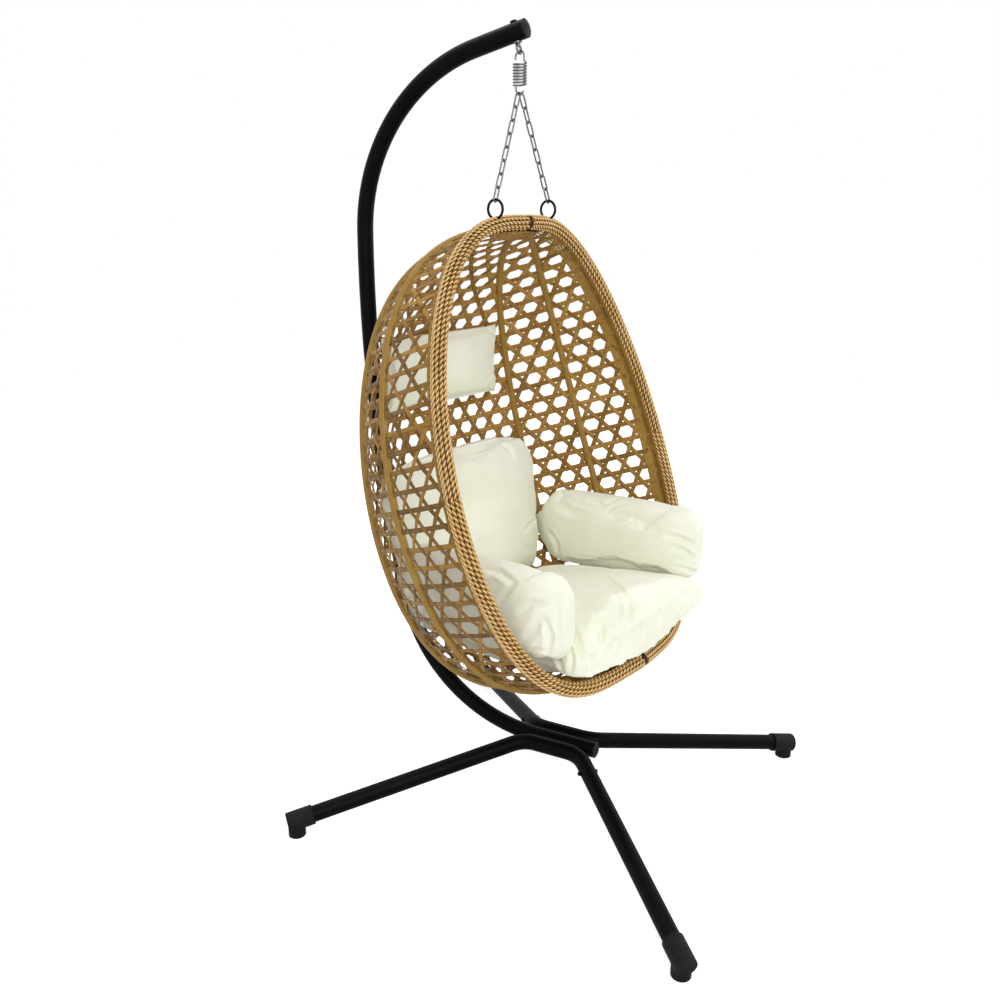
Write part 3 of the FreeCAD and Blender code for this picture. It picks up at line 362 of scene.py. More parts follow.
def arcTable(angle):
    # the hoop's parameter against the length along it from the low hub
    turns = np.linspace(0, np.pi, 2001)
    steps = np.linalg.norm(np.diff(wallPoint(angle, turns), axis=0), axis=1)
    return turns, np.concatenate(([0.0], np.cumsum(steps)))


def turnAtRadius(angle, radius, top):
    # where a hoop, coming from its low or top hub, is this far from the line between them
    turns = np.linspace(0, math.radians(40), 4001)
    if top:
        turns = np.pi - turns
    reach = hoopRadius(np.full(turns.shape, angle), turns)
    return float(turns[np.argmax(reach >= radius)])


def hoopEnds(angle, radius):
    return turnAtRadius(angle, radius, False), turnAtRadius(angle, radius, True)


class MeshMaker:
    # gathers swept strands, then writes them as one mesh with a UV along each strand and a tone

    def __init__(self):
        self.points, self.quads, self.tones, self.uvs = [], [], [], []
        self.count = 0

    def addQuads(self, points, quads, tones, uvs):
        self.points.append(points.reshape(-1, 3))
        self.quads.append(quads + self.count)
        self.tones.append(np.broadcast_to(tones, (points.size // 3,)))
        self.uvs.append(uvs)
        self.count += points.size // 3

    def sweep(self, path, across, up, profile, tone):
        # ring i = path point + across * profile x + up * profile y; quads join it to the next ring
        profile = np.asarray(profile, float)
        rings, sides = len(path), profile.shape[-2]
        if profile.ndim == 2:
            profile = np.broadcast_to(profile, (rings, sides, 2))
        points = (path[:, None, :] + across[:, None, :] * profile[:, :, 0:1]
                  + up[:, None, :] * profile[:, :, 1:2])
        ring = np.arange(rings - 1)[:, None] * sides
        side = np.arange(sides)[None, :]
        after = (side + 1) % sides
        quads = np.stack((ring + side, ring + after, ring + sides + after, ring + sides + side),
                         axis=-1).reshape(-1, 4)
        length = np.concatenate(([0.0], np.cumsum(np.linalg.norm(np.diff(path, axis=0), axis=1))))
        low, high = length[:-1, None] + 0 * side, length[1:, None] + 0 * side
        left, right = (side + 0 * low) / sides, (side + 1 + 0 * low) / sides
        uvs = np.stack((np.stack((low, left), -1), np.stack((low, right), -1),
                        np.stack((high, right), -1), np.stack((high, left), -1)), axis=2)
        ends = []
        last = (rings - 1) * sides
        for k in range(sides // 2 - 1):
            ends.append((sides - 1 - k, sides - 2 - k, k + 1, k))
            ends.append((last + k, last + k + 1, last + sides - 2 - k, last + sides - 1 - k))
        quads = np.concatenate((quads, np.array(ends)))
        uvs = np.concatenate((uvs.reshape(-1, 4, 2), np.zeros((len(ends), 4, 2))))
        # faces look outward when the outline runs anticlockwise seen against the strand's way
        x, y = profile[0, :, 0], profile[0, :, 1]
        area = float((x * np.roll(y, -1) - np.roll(x, -1) * y).sum())
        hand = float((np.cross(across, up) * np.gradient(path, axis=0)).sum())
        if area * hand < 0:
            quads, uvs = quads[:, ::-1], uvs[:, ::-1]
        self.addQuads(points, quads, tone, uvs.reshape(-1, 2))

    def build(self, name, material, replaced):
        points = np.concatenate(self.points)
        quads = np.concatenate(self.quads)
        mesh = bpy.data.meshes.new(name)
        mesh.vertices.add(len(points))
        mesh.vertices.foreach_set("co", toRow(points).astype(np.float32).ravel())
        mesh.loops.add(quads.size)
        mesh.loops.foreach_set("vertex_index", quads.astype(np.int32).ravel())
        mesh.polygons.add(len(quads))
        mesh.polygons.foreach_set("loop_start", np.arange(0, quads.size, 4, dtype=np.int32))
        mesh.polygons.foreach_set("use_smooth", np.full(len(quads), True))
        mesh.update(calc_edges=True)
        layer = mesh.uv_layers.new(name="alongStrand")
        layer.data.foreach_set("uv", np.concatenate(self.uvs).astype(np.float32).ravel())
        tones = mesh.attributes.new("tone", "FLOAT", "POINT")
        tones.data.foreach_set("value", np.concatenate(self.tones).astype(np.float32))
        mesh.validate()
        mesh.materials.append(material)
        piece = bpy.data.objects.new(name, mesh)
        bpy.context.scene.collection.objects.link(piece)
        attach(piece, "basket")
        if replaced:
            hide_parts(*replaced)
        print("made", name, len(quads) * 2, "triangles")


def ovalProfile(width, thick, sides):
    angles = np.arange(sides) / sides * 2 * np.pi + np.pi / sides
    return np.stack((np.cos(angles) * width / 2, np.sin(angles) * thick / 2), axis=-1)


def strandProfile(width, thick):
    # flat strand with a low crown on both faces, anticlockwise from its right edge
    edge, shoulder, face = 0.5 * width, 0.28 * width, 0.5 * thick
    return np.array([(edge, 0.0), (shoulder, face), (-shoulder, face),
                     (-edge, 0.0), (-shoulder, -face), (shoulder, -face)])


# what each part adds to a strand's tone; the tone attribute holds a random lot and, on some pieces,
# painted shade
strandTone = {"streaks": 0.42, "lotAndShade": 0.38, "patches": 0.26}


def strandMaterial(name, stops, groove, roughness, streak):
    # extruded polyethylene strand: waxy gloss, fine streaks along it, dye that differs by strand,
    # and painted shade carried in the tone attribute
    material, tree = newMaterial(name)
    along = addNode(tree, "ShaderNodeUVMap", {"uv_map": "alongStrand"}).outputs["UV"]
    stretched = addNode(tree, "ShaderNodeMapping", {"Scale": (14.0, streak, 1.0)},
                        {"Vector": along})
    streaks = addNode(tree, "ShaderNodeTexNoise", {"Scale": 3.0, "Detail": 4.0, "Roughness": 0.6},
                      {"Vector": stretched.outputs["Vector"]}).outputs["Fac"]
    place = addNode(tree, "ShaderNodeTexCoord").outputs["Object"]
    patches = addNode(tree, "ShaderNodeTexNoise", {"Scale": 16.0, "Detail": 3.0},
                      {"Vector": place}).outputs["Fac"]
    # tone attribute: a random lot per strand, plus painted shade on the side walls, plait rows and
    # rim winding
    lotAndShade = addNode(tree, "ShaderNodeAttribute", {"attribute_name": "tone"}).outputs["Fac"]
    blend = addNode(tree, "ShaderNodeMath", {"operation": "MULTIPLY", 1: strandTone["streaks"]},
                    {0: streaks})
    blend = addNode(tree, "ShaderNodeMath", {"operation": "MULTIPLY_ADD", 1: strandTone["lotAndShade"]},
                    {0: lotAndShade, 2: blend.outputs[0]})
    blend = addNode(tree, "ShaderNodeMath", {"operation": "MULTIPLY_ADD", 1: strandTone["patches"]},
                    {0: patches, 2: blend.outputs[0]})
    tone = addNode(tree, "ShaderNodeValToRGB", {"stops": stops}, {"Fac": blend.outputs[0]})
    gloss = addNode(tree, "ShaderNodeMapRange",
                    {"To Min": roughness - 0.08, "To Max": roughness + 0.14}, {"Value": streaks})
    bump = addNode(tree, "ShaderNodeBump", {"Distance": groove, "Strength": 0.35},
                   {"Height": streaks})
    skin = addNode(tree, "ShaderNodeBsdfPrincipled", {"IOR": 1.51, "Specular IOR Level": 0.25},
                   {"Base Color": tone.outputs["Color"], "Roughness": gloss.outputs["Result"],
                    "Normal": bump.outputs["Normal"]})
    addNode(tree, "ShaderNodeOutputMaterial", {}, {"Surface": skin.outputs[0]})
    return material


weaveStrand = strandMaterial("extrudedWeaveStrand",
                             [(0.05, "#4E3810"), (0.25, "#6E4F1B"), (0.5, "#9B7230"),
                              (0.8, "#BA9249")],
                             0.4 * mm, 0.4, 9.0)
wrapStrand = strandMaterial("extrudedWrapStrand",
                            [(0.06, "#2E1C0C"), (0.22, "#73531D"), (0.5, "#96732F"),
                             (0.8, "#B48F48")],
                            0.3 * mm, 0.34, 7.0)
plaitStrand = strandMaterial("twistedPlaitStrand",
                             [(0.06, "#2E1C08"), (0.26, "#845B22"), (0.48, "#CB9F5C"),
                              (0.72, "#EDCD96")],
                             0.4 * mm, 0.48, 5.0)

# Woven walls: three sets of flat strands leave six-sided holes, each set over one, under another

weave = {
    "spacing": 45.0 * mm,
    "strandThick": 1.5 * mm,
    "setAngles": (0.0, 120.0, 240.0),
    "setPhases": (0.0, 0.0, 0.5),
    "wander": 0.03,         # how far a strand strays from its place, as a share of the spacing
    "lift": 0.9 * mm,
    "step": 6.0 * mm,
    "halfAcross": 0.30,     # the flat pattern's half width, and half the length of a strand in it
    "halfStrand": 1.4,
    "clear": 94.0 * mm,     # strands end this far from the line between the hubs
    "closest": 0.66,        # row spacing at the hubs, as a share of the pattern's
    "widest": 0.98,         # and at the belly
    "spread": 0.8,
    "seed": 11,
}
referenceTurns, referenceLengths = arcTable(math.radians(fan["rightRear"]))
# the flat pattern's upward coordinate runs faster than the wall's length where rows are closer
referenceShare = (weave["closest"] + (weave["widest"] - weave["closest"])
                  * np.sin(np.pi * referenceLengths / referenceLengths[-1]) ** weave["spread"])
patternLengths = np.concatenate(([0.0], np.cumsum(
    np.diff(referenceLengths) / (0.5 * (referenceShare[1:] + referenceShare[:-1])))))


def runsOf(inside):
    # the stretches of a row of samples that lie inside, long enough to sweep
    edges = np.flatnonzero(np.diff(np.concatenate(([0], inside.astype(int), [0]))))
    return [slice(start, end) for start, end in zip(edges[::2], edges[1::2]) if end - start > 2]


def wovenWall(name, firstHoop, lastHoop, strandWidth, stretch, shade, replaced):
    # stretch widens the pattern along the fan angle, shade darkens every strand of the panel as
    # painted shade
    maker = MeshMaker()
    rng = np.random.default_rng(weave["seed"] + int(fan[firstHoop]))
    first, last = math.radians(fan[firstHoop]), math.radians(fan[lastHoop])
    middle = (first + last) / 2
    gap, phases = weave["spacing"], weave["setPhases"]
    normals = [np.array((math.sin(a), math.cos(a))) for a in np.radians(weave["setAngles"])]
    middleAlong = patternLengths[-1] / 2
    outermost = int((weave["halfAcross"] + middleAlong) / gap) + 1
    samples = np.arange(-weave["halfStrand"], weave["halfStrand"], weave["step"])
    profile = strandProfile(strandWidth, weave["strandThick"])
    for family, normal in enumerate(normals):
        way = np.array((normal[1], -normal[0]))
        for number in range(-outermost, outermost + 1):
            # a strand lies where the distance along its set's normal is a whole number of gaps
            place = number + phases[family] + weave["wander"] * rng.uniform(-1, 1)
            flat = (normal * gap * place)[None, :] + samples[:, None] * way
            wide, along = flat[:, 0] * stretch, flat[:, 1] + middleAlong
            turn = np.interp(along, patternLengths, referenceTurns)
            reach = hoopRadius(np.full(turn.shape, middle), turn)
            inside = ((along > 0) & (along < patternLengths[-1]) & (reach > weave["clear"])
                      & (np.abs(wide) <= reach * (last - first) / 2))
            for span in runsOf(inside):
                angle = middle + wide[span] / reach[span]
                other = [(flat[span] @ n) / gap - p for n, p in zip(normals, phases)]
                height = weave["lift"] * np.cos(2 * np.pi * other[(family + 1) % 3])
                outward = wallOutward(angle, turn[span])
                path = wallPoint(angle, turn[span]) + outward * height[:, None]
                tangent = unit(np.gradient(path, axis=0))
                across = unit(np.cross(outward, tangent))
                # each strand's tone: a random lot, less the panel's painted shade
                maker.sweep(path, across, unit(np.cross(tangent, across)), profile,
                            rng.uniform() - shade)
    maker.build(name, weaveStrand, replaced)


# name, from hoop, to hoop, strand width, stretch, shade (painted shade, laid on the two left walls)
wovenWall("leftSideWall", "leftSide", "leftRim", 11.4 * mm, 1.3, 0.3, ["left_side_weave"])
wovenWall("leftRearWall", "leftRear", "leftSide", 11.4 * mm, 1.3, 0.3, ["left_rear_weave"])
wovenWall("backWall", "rightRear", "leftRear", 13.2 * mm, 1.0, 0.0, ["back_weave"])
wovenWall("rightRearWall", "rightSide", "rightRear", 12.8 * mm, 1.12, 0.0, ["right_rear_weave"])
wovenWall("rightSideWall", "rightRim", "rightSide", 12.6 * mm, 1.15, 0.0, ["right_side_weave"])

# Rib wraps: one strand wound tightly round each rib, its turns lying side by side

wrap = {
    "radius": 9.5 * mm, "groove": 0.55 * mm, "pitch": 8.0 * mm, "start": 92.3 * mm,
    "step": 1.6 * mm, "sides": 18,
}
grooveSharpness = 6         # a higher power draws the groove between two turns narrower


def hoopFrame(angle, ends, step):
    # points a step apart along a hoop, with the ways along it, outward in its plane and aside
    turns, lengths = arcTable(angle)
    begin, end = np.interp(ends, turns, lengths)
    count = max(int(abs(end - begin) / step), 2)
    along = np.linspace(begin, end, count + 1)
    turn = np.interp(along, lengths, turns)
    path = wallPoint(angle, turn)
    tangent = unit(wallPoint(angle, turn + smallTurn) - wallPoint(angle, turn - smallTurn))
    aside = -math.sin(angle) * fanSide + math.cos(angle) * fanBack
    aside = np.broadcast_to(aside, path.shape)
    outward = unit(np.cross(tangent, aside))
    away = math.cos(angle) * fanSide + math.sin(angle) * fanBack
    if float((outward[len(outward) // 2] * away).sum()) < 0:
        outward = -outward
    return path, tangent, outward, aside, along - begin


def windingDip(along, sides, pitch):
    # 1 where one turn of a winding meets the next, 0 on a turn's crown
    phase = along[:, None] / pitch + sides[None, :] / (2 * np.pi)
    return np.abs(np.cos(np.pi * phase)) ** grooveSharpness


def ringProfile(sides, radius):
    return np.stack((np.cos(sides) * radius, np.sin(sides) * radius), axis=-1)


def ribWrap(name, hoop, replaced):
    angle = math.radians(fan[hoop])
    path, tangent, outward, aside, along = hoopFrame(
        angle, hoopEnds(angle, wrap["start"]), wrap["step"])
    sides = np.arange(wrap["sides"]) / wrap["sides"] * 2 * np.pi
    radius = wrap["radius"] - wrap["groove"] * windingDip(along, sides, wrap["pitch"])
    maker = MeshMaker()
    maker.sweep(path, outward, unit(np.cross(tangent, outward)), ringProfile(sides, radius), 0.5)
    maker.build(name, wrapStrand, replaced)


ribWrap("leftSideRibWrap", "leftSide", ["left_side_rib_wrap"])
ribWrap("leftRearRibWrap", "leftRear", ["left_rear_rib_wrap"])
ribWrap("rightRearRibWrap", "rightRear", ["right_rear_rib_wrap"])
ribWrap("rightSideRibWrap", "rightSide", ["right_side_rib_wrap"])

# Rim plait: rows of two-strand twist over the front and outside of the rim, a winding behind them

plait = {
    "rowRadius": 14.3 * mm, "rows": (66.0, 31.0, -4.0, -39.0, -74.0, -109.0, -144.0, -179.0),
    "strandWidth": 4.9 * mm, "strandThick": 3.6 * mm, "strandSides": 6,
    "twistRadius": 2.6 * mm, "pitch": 26.0 * mm, "rowShift": 0.18,
    # the second of these tones is painted shade, darker where a strand turns under the other; the
    # third is a random share for each row
    "topTone": 0.1, "paintedUnderShade": 0.7, "lotTone": 0.25,
    "step": 3.0 * mm, "notch": 7.2 * mm, "seed": 5,
}
# short rows over the wall's inner face at the low end: distance from the rim, where each ends
lowPlait = {
    "rows": ((22.0 * mm, 360.0 * mm), (30.5 * mm, 310.0 * mm), (39.0 * mm, 260.0 * mm)),
    "startShare": 1.25, "lift": 2.0 * mm,
}
# the winding stands out between two of its angles alone, where no row of the plait covers it
rimWinding = {
    "coreRadius": 12.2 * mm, "bareRadius": 16.4 * mm, "bareFrom": 75.0, "bareSpan": 115.0,
    "pitch": 9.0 * mm, "groove": 0.5 * mm, "sides": 20,
    # where the rows cover the winding it is painted dark: painted shade seen through the gaps
    # between rows
    "coveredShare": 0.15, "paintedGapShade": -0.9, "bareTone": 0.35,
}
edgeStrand = {
    "first": 19.0 * mm, "spacing": 7.6 * mm, "width": 8.6 * mm, "thick": 2.2 * mm,
    "clear": 60.0 * mm, "step": 6.0 * mm, "wave": 0.4 * mm, "wavePoints": 4,
}


def twistedRow(maker, middle, lift, side, turns, tone):
    # two strands wound about each other; where one dives under the other it is painted darker, as
    # painted shade
    oval = ovalProfile(plait["strandWidth"], plait["strandThick"], plait["strandSides"])
    for strand in (0.0, 0.5):
        phase = 2 * np.pi * (turns + strand)
        around = lift * np.cos(phase)[:, None] + side * np.sin(phase)[:, None]
        line = middle + around * plait["twistRadius"]
        ahead = unit(np.gradient(line, axis=0))
        across = unit(np.cross(around, ahead))
        # painted shade: lighter on the outer side of the twist, darker where the strand turns
        # under, plus a random lot
        shade = plait["topTone"] + plait["paintedUnderShade"] * np.cos(phase) + plait["lotTone"] * tone
        maker.sweep(line, across, unit(np.cross(ahead, across)), oval,
                    np.repeat(shade, len(oval)))


def besideRim(angle, inward, distance, turn):
    # fan angle of the places on the wall that lie this far from the rim
    return angle + inward * distance / hoopRadius(np.full(turn.shape, angle), turn)


def plaitRows(maker, rng, rim, inward):
    path, tangent, outward, aside, along = rim
    # the twist turns the other way past the middle of the hoop
    mirrored = np.abs(along - along[-1] / 2) - along[-1] / 2
    for row, rowAngle in enumerate(np.radians(plait["rows"])):
        lift = outward * math.cos(rowAngle) + aside * math.sin(rowAngle)
        side = -outward * math.sin(rowAngle) + aside * math.cos(rowAngle)
        turns = inward * (mirrored / plait["pitch"] + row * plait["rowShift"])
        twistedRow(maker, path + lift * plait["rowRadius"], lift, side, turns, rng.uniform())


def lowPlaitRows(maker, rng, angle, inward):
    turns, lengths = arcTable(angle)
    for row, (distance, end) in enumerate(lowPlait["rows"]):
        start = turnAtRadius(angle, distance * lowPlait["startShare"], False)
        places = np.arange(np.interp(start, turns, lengths), end, plait["step"])
        turn = np.interp(places, lengths, turns)
        wallAngle = besideRim(angle, inward, distance, turn)
        lift = -wallOutward(wallAngle, turn)
        middle = wallPoint(wallAngle, turn) + lift * lowPlait["lift"]
        side = unit(np.cross(lift, np.gradient(middle, axis=0)))
        twist = -inward * (places / plait["pitch"] + row * plait["rowShift"])
        twistedRow(maker, middle, lift, side, twist, rng.uniform())


def windRim(maker, rim):
    path, tangent, outward, aside, along = rim
    use = rimWinding
    sides = np.arange(use["sides"]) / use["sides"] * 2 * np.pi
    bare = np.clip((sides - np.radians(use["bareFrom"])) / np.radians(use["bareSpan"]), 0, 1)
    bare = 0.5 - 0.5 * np.cos(bare * 2 * np.pi)
    radius = (use["coreRadius"] + (use["bareRadius"] - use["coreRadius"]) * bare[None, :]
              - use["groove"] * windingDip(along, sides, use["pitch"]))
    # painted shade: the covered part of the winding is darkened to stand for the shade between the
    # plait's rows
    tone = np.where(bare < use["coveredShare"], use["paintedGapShade"], use["bareTone"])
    maker.sweep(path, outward, aside, ringProfile(sides, radius), np.tile(tone, len(along)))


def edgeStrands(maker, rng, angle, inward, count):
    # flat strands laid side by side along the edge of the wall
    use = edgeStrand
    turns, lengths = arcTable(angle)
    profile = strandProfile(use["width"], use["thick"])
    span = np.interp(hoopEnds(angle, use["clear"]), turns, lengths)
    turn = np.interp(np.arange(span[0], span[1], use["step"]), lengths, turns)
    for number in range(count):
        distance = use["first"] + number * use["spacing"]
        wallAngle = besideRim(angle, inward, distance, turn)
        away = wallOutward(wallAngle, turn)
        phase = 2 * np.pi * np.arange(len(turn)) / use["wavePoints"] + number
        line = wallPoint(wallAngle, turn) + away * (use["wave"] * np.cos(phase))[:, None]
        ahead = unit(np.gradient(line, axis=0))
        across = unit(np.cross(away, ahead))
        maker.sweep(line, across, unit(np.cross(ahead, across)), profile, rng.uniform())


def rimPlait(name, hoop, inward, edgeRows, replaced):
    # inward is the way from the rim to its wall along the fan angle: +1 right, -1 left
    angle = math.radians(fan[hoop])
    path, tangent, outward, aside, along = hoopFrame(
        angle, hoopEnds(angle, plait["notch"]), plait["step"])
    rim = path, tangent, outward, aside * inward, along
    rng = np.random.default_rng(plait["seed"])
    front = MeshMaker()
    plaitRows(front, rng, rim, inward)
    lowPlaitRows(front, rng, angle, inward)
    front.build(name, plaitStrand, replaced)
    backing = MeshMaker()
    windRim(backing, rim)
    edgeStrands(backing, rng, angle, inward, edgeRows)
    backing.build(name + "Backing", wrapStrand, ())


rimPlait("leftRimPlait", "leftRim", -1, 2, ["left_rim_braid"])
rimPlait("rightRimPlait", "rightRim", 1, 5, ["right_rim_braid"])

# Hub covers: strands woven in rings over both faces of the two fan plates

hubCover = {
    "first": 24.0 * mm, "last": 97.0 * mm, "spacing": 7.4 * mm,
    "width": 8.4 * mm, "thick": 1.6 * mm,
    # heights of the two faces' strands from the pivot, towards the basket's middle
    "inner": 13.4 * mm, "outer": 5.9 * mm, "wave": 0.5 * mm, "waveLength": 22.0 * mm,
    "rimEdge": 22.0 * mm, "step": 3.0 * mm, "seed": 3,
}


def coverHub(name, pivot, inward):
    # rings about the pivot in the plate's plane, stopped at the two rims
    maker = MeshMaker()
    rng = np.random.default_rng(hubCover["seed"])
    edge = strandProfile(hubCover["width"], hubCover["thick"])
    radii = np.arange(hubCover["first"], hubCover["last"], hubCover["spacing"])
    for height in (hubCover["inner"], hubCover["outer"]):
        for number, radius in enumerate(radii):
            first = hoopAngles[0] + math.asin(min(hubCover["rimEdge"] / radius, 1.0))
            # a half ring is about three radii long
            count = max(int(3 * radius / hubCover["step"]), 6)
            angles = np.linspace(first, np.pi - first, count)
            away = np.cos(angles)[:, None] * fanSide + np.sin(angles)[:, None] * fanBack
            wave = np.cos(2 * np.pi * radius * angles / hubCover["waveLength"] + np.pi * number)
            rise = height + hubCover["wave"] * wave
            line = np.array(pivot) + away * radius + inward * fanLine * rise[:, None]
            ahead = unit(np.gradient(line, axis=0))
            up = np.broadcast_to(fanLine * inward, line.shape)
            maker.sweep(line, unit(np.cross(ahead, up)), up, edge, rng.uniform())
    maker.build(name, weaveStrand, ())


coverHub("topHubCover", basket["topPivot"], -1)
coverHub("bottomHubCover", basket["lowPivot"], 1)

# Cushions: a cloth cover filled inside each cushion's own space, with the photograph's folds

fabricTone = {"light": "#F5F6E7", "dark": "#EAECD8"}


def coverCloth(name):
    # plain woven polyester cover: matt ivory with a soft sheen, its thread drawn coarser than life
    material, tree = newMaterial(name)
    place = addNode(tree, "ShaderNodeTexCoord").outputs["Object"]
    threads = []
    for direction in ((1.0, 0.35, 0.2), (0.1, 0.5, 1.0)):
        turned = addNode(tree, "ShaderNodeMapping", {"Scale": direction}, {"Vector": place})
        threads.append(addNode(tree, "ShaderNodeTexWave",
                               {"Scale": 120.0, "Distortion": 0.6, "Detail": 1.0},
                               {"Vector": turned.outputs["Vector"]}).outputs["Fac"])
    cross = addNode(tree, "ShaderNodeMath", {"operation": "ADD"}, {0: threads[0], 1: threads[1]})
    drift = addNode(tree, "ShaderNodeTexNoise", {"Scale": 7.0, "Detail": 3.0}, {"Vector": place})
    tone = addNode(tree, "ShaderNodeValToRGB",
                   {"stops": [(0.3, fabricTone["dark"]), (0.7, fabricTone["light"])]},
                   {"Fac": drift.outputs["Fac"]})
    bump = addNode(tree, "ShaderNodeBump", {"Distance": 0.4 * mm, "Strength": 0.12},
                   {"Height": cross.outputs[0]})
    skin = addNode(tree, "ShaderNodeBsdfPrincipled",
                   {"Roughness": 0.82, "Sheen Weight": 0.25, "Sheen Roughness": 0.4},
                   {"Base Color": tone.outputs["Color"], "Normal": bump.outputs["Normal"]})
    addNode(tree, "ShaderNodeOutputMaterial", {}, {"Surface": skin.outputs[0]})
    return material


coverFabric = coverCloth("wovenPolyesterCover")

# Folds by cushion: the photograph's pixels that each runs through, its width and its depth
foldsInPhoto = {
    "seatPad": [
        (((606, 576), (624, 592), (641, 615)), 6.0 * mm, 9.0 * mm),
        (((626, 596), (630, 612), (628, 630)), 8.0 * mm, 11.0 * mm),
        (((596, 615), (603, 638), (598, 656)), 8.0 * mm, 10.0 * mm),
        (((568, 624), (579, 642), (584, 663)), 8.0 * mm, 13.0 * mm),
        (((586, 640), (590, 650), (591, 662)), 6.0 * mm, 7.0 * mm),
        (((570, 646), (572, 658), (570, 672)), 6.0 * mm, 9.0 * mm),
        (((613, 632), (616, 642), (613, 653)), 7.0 * mm, 7.0 * mm),
        (((641, 622), (643, 632), (640, 642)), 6.0 * mm, 6.0 * mm),
        (((658, 608), (661, 618), (657, 630)), 6.0 * mm, 6.0 * mm),
        (((672, 590), (682, 594), (690, 592)), 7.0 * mm, 6.0 * mm),
        (((554, 640), (558, 655), (562, 670)), 7.0 * mm, 10.0 * mm),
    ],
    "leftArmPad": [
        (((482, 573), (498, 571), (514, 583)), 7.0 * mm, 8.0 * mm),
        (((514, 583), (507, 592), (498, 602)), 7.0 * mm, 6.0 * mm),
        (((520, 612), (532, 604), (546, 604)), 8.0 * mm, 8.0 * mm),
        (((522, 640), (534, 630), (545, 616)), 9.0 * mm, 9.0 * mm),
        (((545, 620), (550, 636), (547, 652)), 7.0 * mm, 11.0 * mm),
        (((528, 655), (536, 650), (545, 650)), 6.0 * mm, 6.0 * mm),
    ],
    "rightArmPad": [
        (((590, 500), (603, 505), (618, 500)), 7.0 * mm, 9.0 * mm),
        (((606, 512), (614, 505), (626, 503)), 6.0 * mm, 6.0 * mm),
        (((666, 536), (680, 538), (696, 546)), 7.0 * mm, 10.0 * mm),
        (((672, 549), (684, 551), (694, 560)), 7.0 * mm, 7.0 * mm),
        (((676, 567), (688, 570), (698, 574)), 6.0 * mm, 8.0 * mm),
        (((643, 526), (652, 519), (662, 514)), 9.0 * mm, 6.0 * mm),
        (((556, 504), (570, 512), (588, 512)), 12.0 * mm, 6.0 * mm),
        (((548, 530), (556, 542), (558, 556)), 9.0 * mm, 6.0 * mm),
    ],
    "backPad": [
        (((452, 450), (466, 453), (486, 449)), 6.0 * mm, 9.0 * mm),
        (((500, 443), (510, 449), (515, 461)), 9.0 * mm, 6.0 * mm),
        (((524, 531), (531, 524), (539, 519)), 7.0 * mm, 9.0 * mm),
        (((515, 540), (526, 548), (538, 550)), 9.0 * mm, 5.0 * mm),
    ],
    "headPillow": [
        (((484, 322), (489, 330), (499, 335)), 7.0 * mm, 4.0 * mm),
        (((486, 382), (491, 375), (501, 371)), 7.0 * mm, 4.0 * mm),
    ],
}

# shrink: how much smaller the cover starts; cap: how far it may move; drawnIn: how far inward
# rests: the way to what carries the cushion, where the cover hardly swells
# against: pieces made before it that it presses on without entering
armCover = {"fill": 0.6, "voxel": 5.0 * mm, "shrink": 2.0 * mm, "cap": 22.0 * mm,
            "drawnIn": 2.0 * mm, "growth": 0.16, "pressure": 6.0,
            "against": ["seatPad", "backPad"]}
cushions = {
    "seat_cushion": {"piece": "seatPad", "fill": 0.6, "voxel": 6.0 * mm, "shrink": 4.0 * mm,
                     "cap": 16.0 * mm, "drawnIn": 12.0 * mm, "growth": 0.1, "pressure": 4.0,
                     "rests": (0.0, 0.1, -1.0), "against": []},
    "back_cushion": {"piece": "backPad", "fill": 0.6, "voxel": 6.0 * mm, "shrink": 4.0 * mm,
                     "cap": 14.0 * mm, "drawnIn": 12.0 * mm, "growth": 0.08, "pressure": 4.0,
                     "rests": (0.0, 1.0, -0.2), "against": ["seatPad"]},
    "left_arm_cushion": {**armCover, "piece": "leftArmPad", "rests": (-1.0, 0.1, -0.1)},
    "right_arm_cushion": {**armCover, "piece": "rightArmPad", "rests": (1.0, 0.1, -0.1)},
    "head_pillow": {"piece": "headPillow", "fill": 0.55, "voxel": 5.0 * mm, "shrink": 3.0 * mm,
                    "cap": 8.0 * mm, "drawnIn": 8.0 * mm, "growth": 0.02, "pressure": 3.0,
                    "rests": (0.0, 1.0, 0.0), "against": []},
}
restingCap = 4.0 * mm       # how far a cover may move towards what carries it
contactGap = 0.6 * mm       # kept between a cover and the pieces it presses on
clothModel = {"quality": 6, "mass": 0.15, "stretch": 18.0, "shear": 6.0, "bending": 0.03,
              "frames": 20}
# a fold's samples along its line, its tapered ends, and the ridge beside its groove
foldShape = {"samples": 13, "fewest": 4, "endShare": 0.06,
             "ridge": 0.35, "ridgeAt": 1.9, "ridgeWidth": 0.8}


def meshPoints(mesh):
    points = np.empty(len(mesh.vertices) * 3, np.float32)
    mesh.vertices.foreach_get("co", points)
    return points.reshape(-1, 3).astype(float)


def setPoints(mesh, points):
    mesh.vertices.foreach_set("co", np.asarray(points, np.float32).ravel())
    mesh.update()


def meshNormals(mesh):
    normals = np.empty(len(mesh.vertices) * 3, np.float32)
    mesh.vertices.foreach_get("normal", normals)
    return normals.reshape(-1, 3).astype(float)


def evaluatedMesh(piece):
    graph = bpy.context.evaluated_depsgraph_get()
    graph.update()
    return bpy.data.meshes.new_from_object(piece.evaluated_get(graph), depsgraph=graph)


def mergedCopy(node, name):
    mesh = nodes[node].data.copy()
    mesh.name = name
    working = bmesh.new()
    working.from_mesh(mesh)
    bmesh.ops.remove_doubles(working, verts=working.verts, dist=0.0001)
    bmesh.ops.recalc_face_normals(working, faces=working.faces)
    working.to_mesh(mesh)
    working.free()
    for attribute in [a.name for a in mesh.attributes if a.name.startswith("custom")]:
        mesh.attributes.remove(mesh.attributes[attribute])
    mesh.materials.clear()
    return mesh


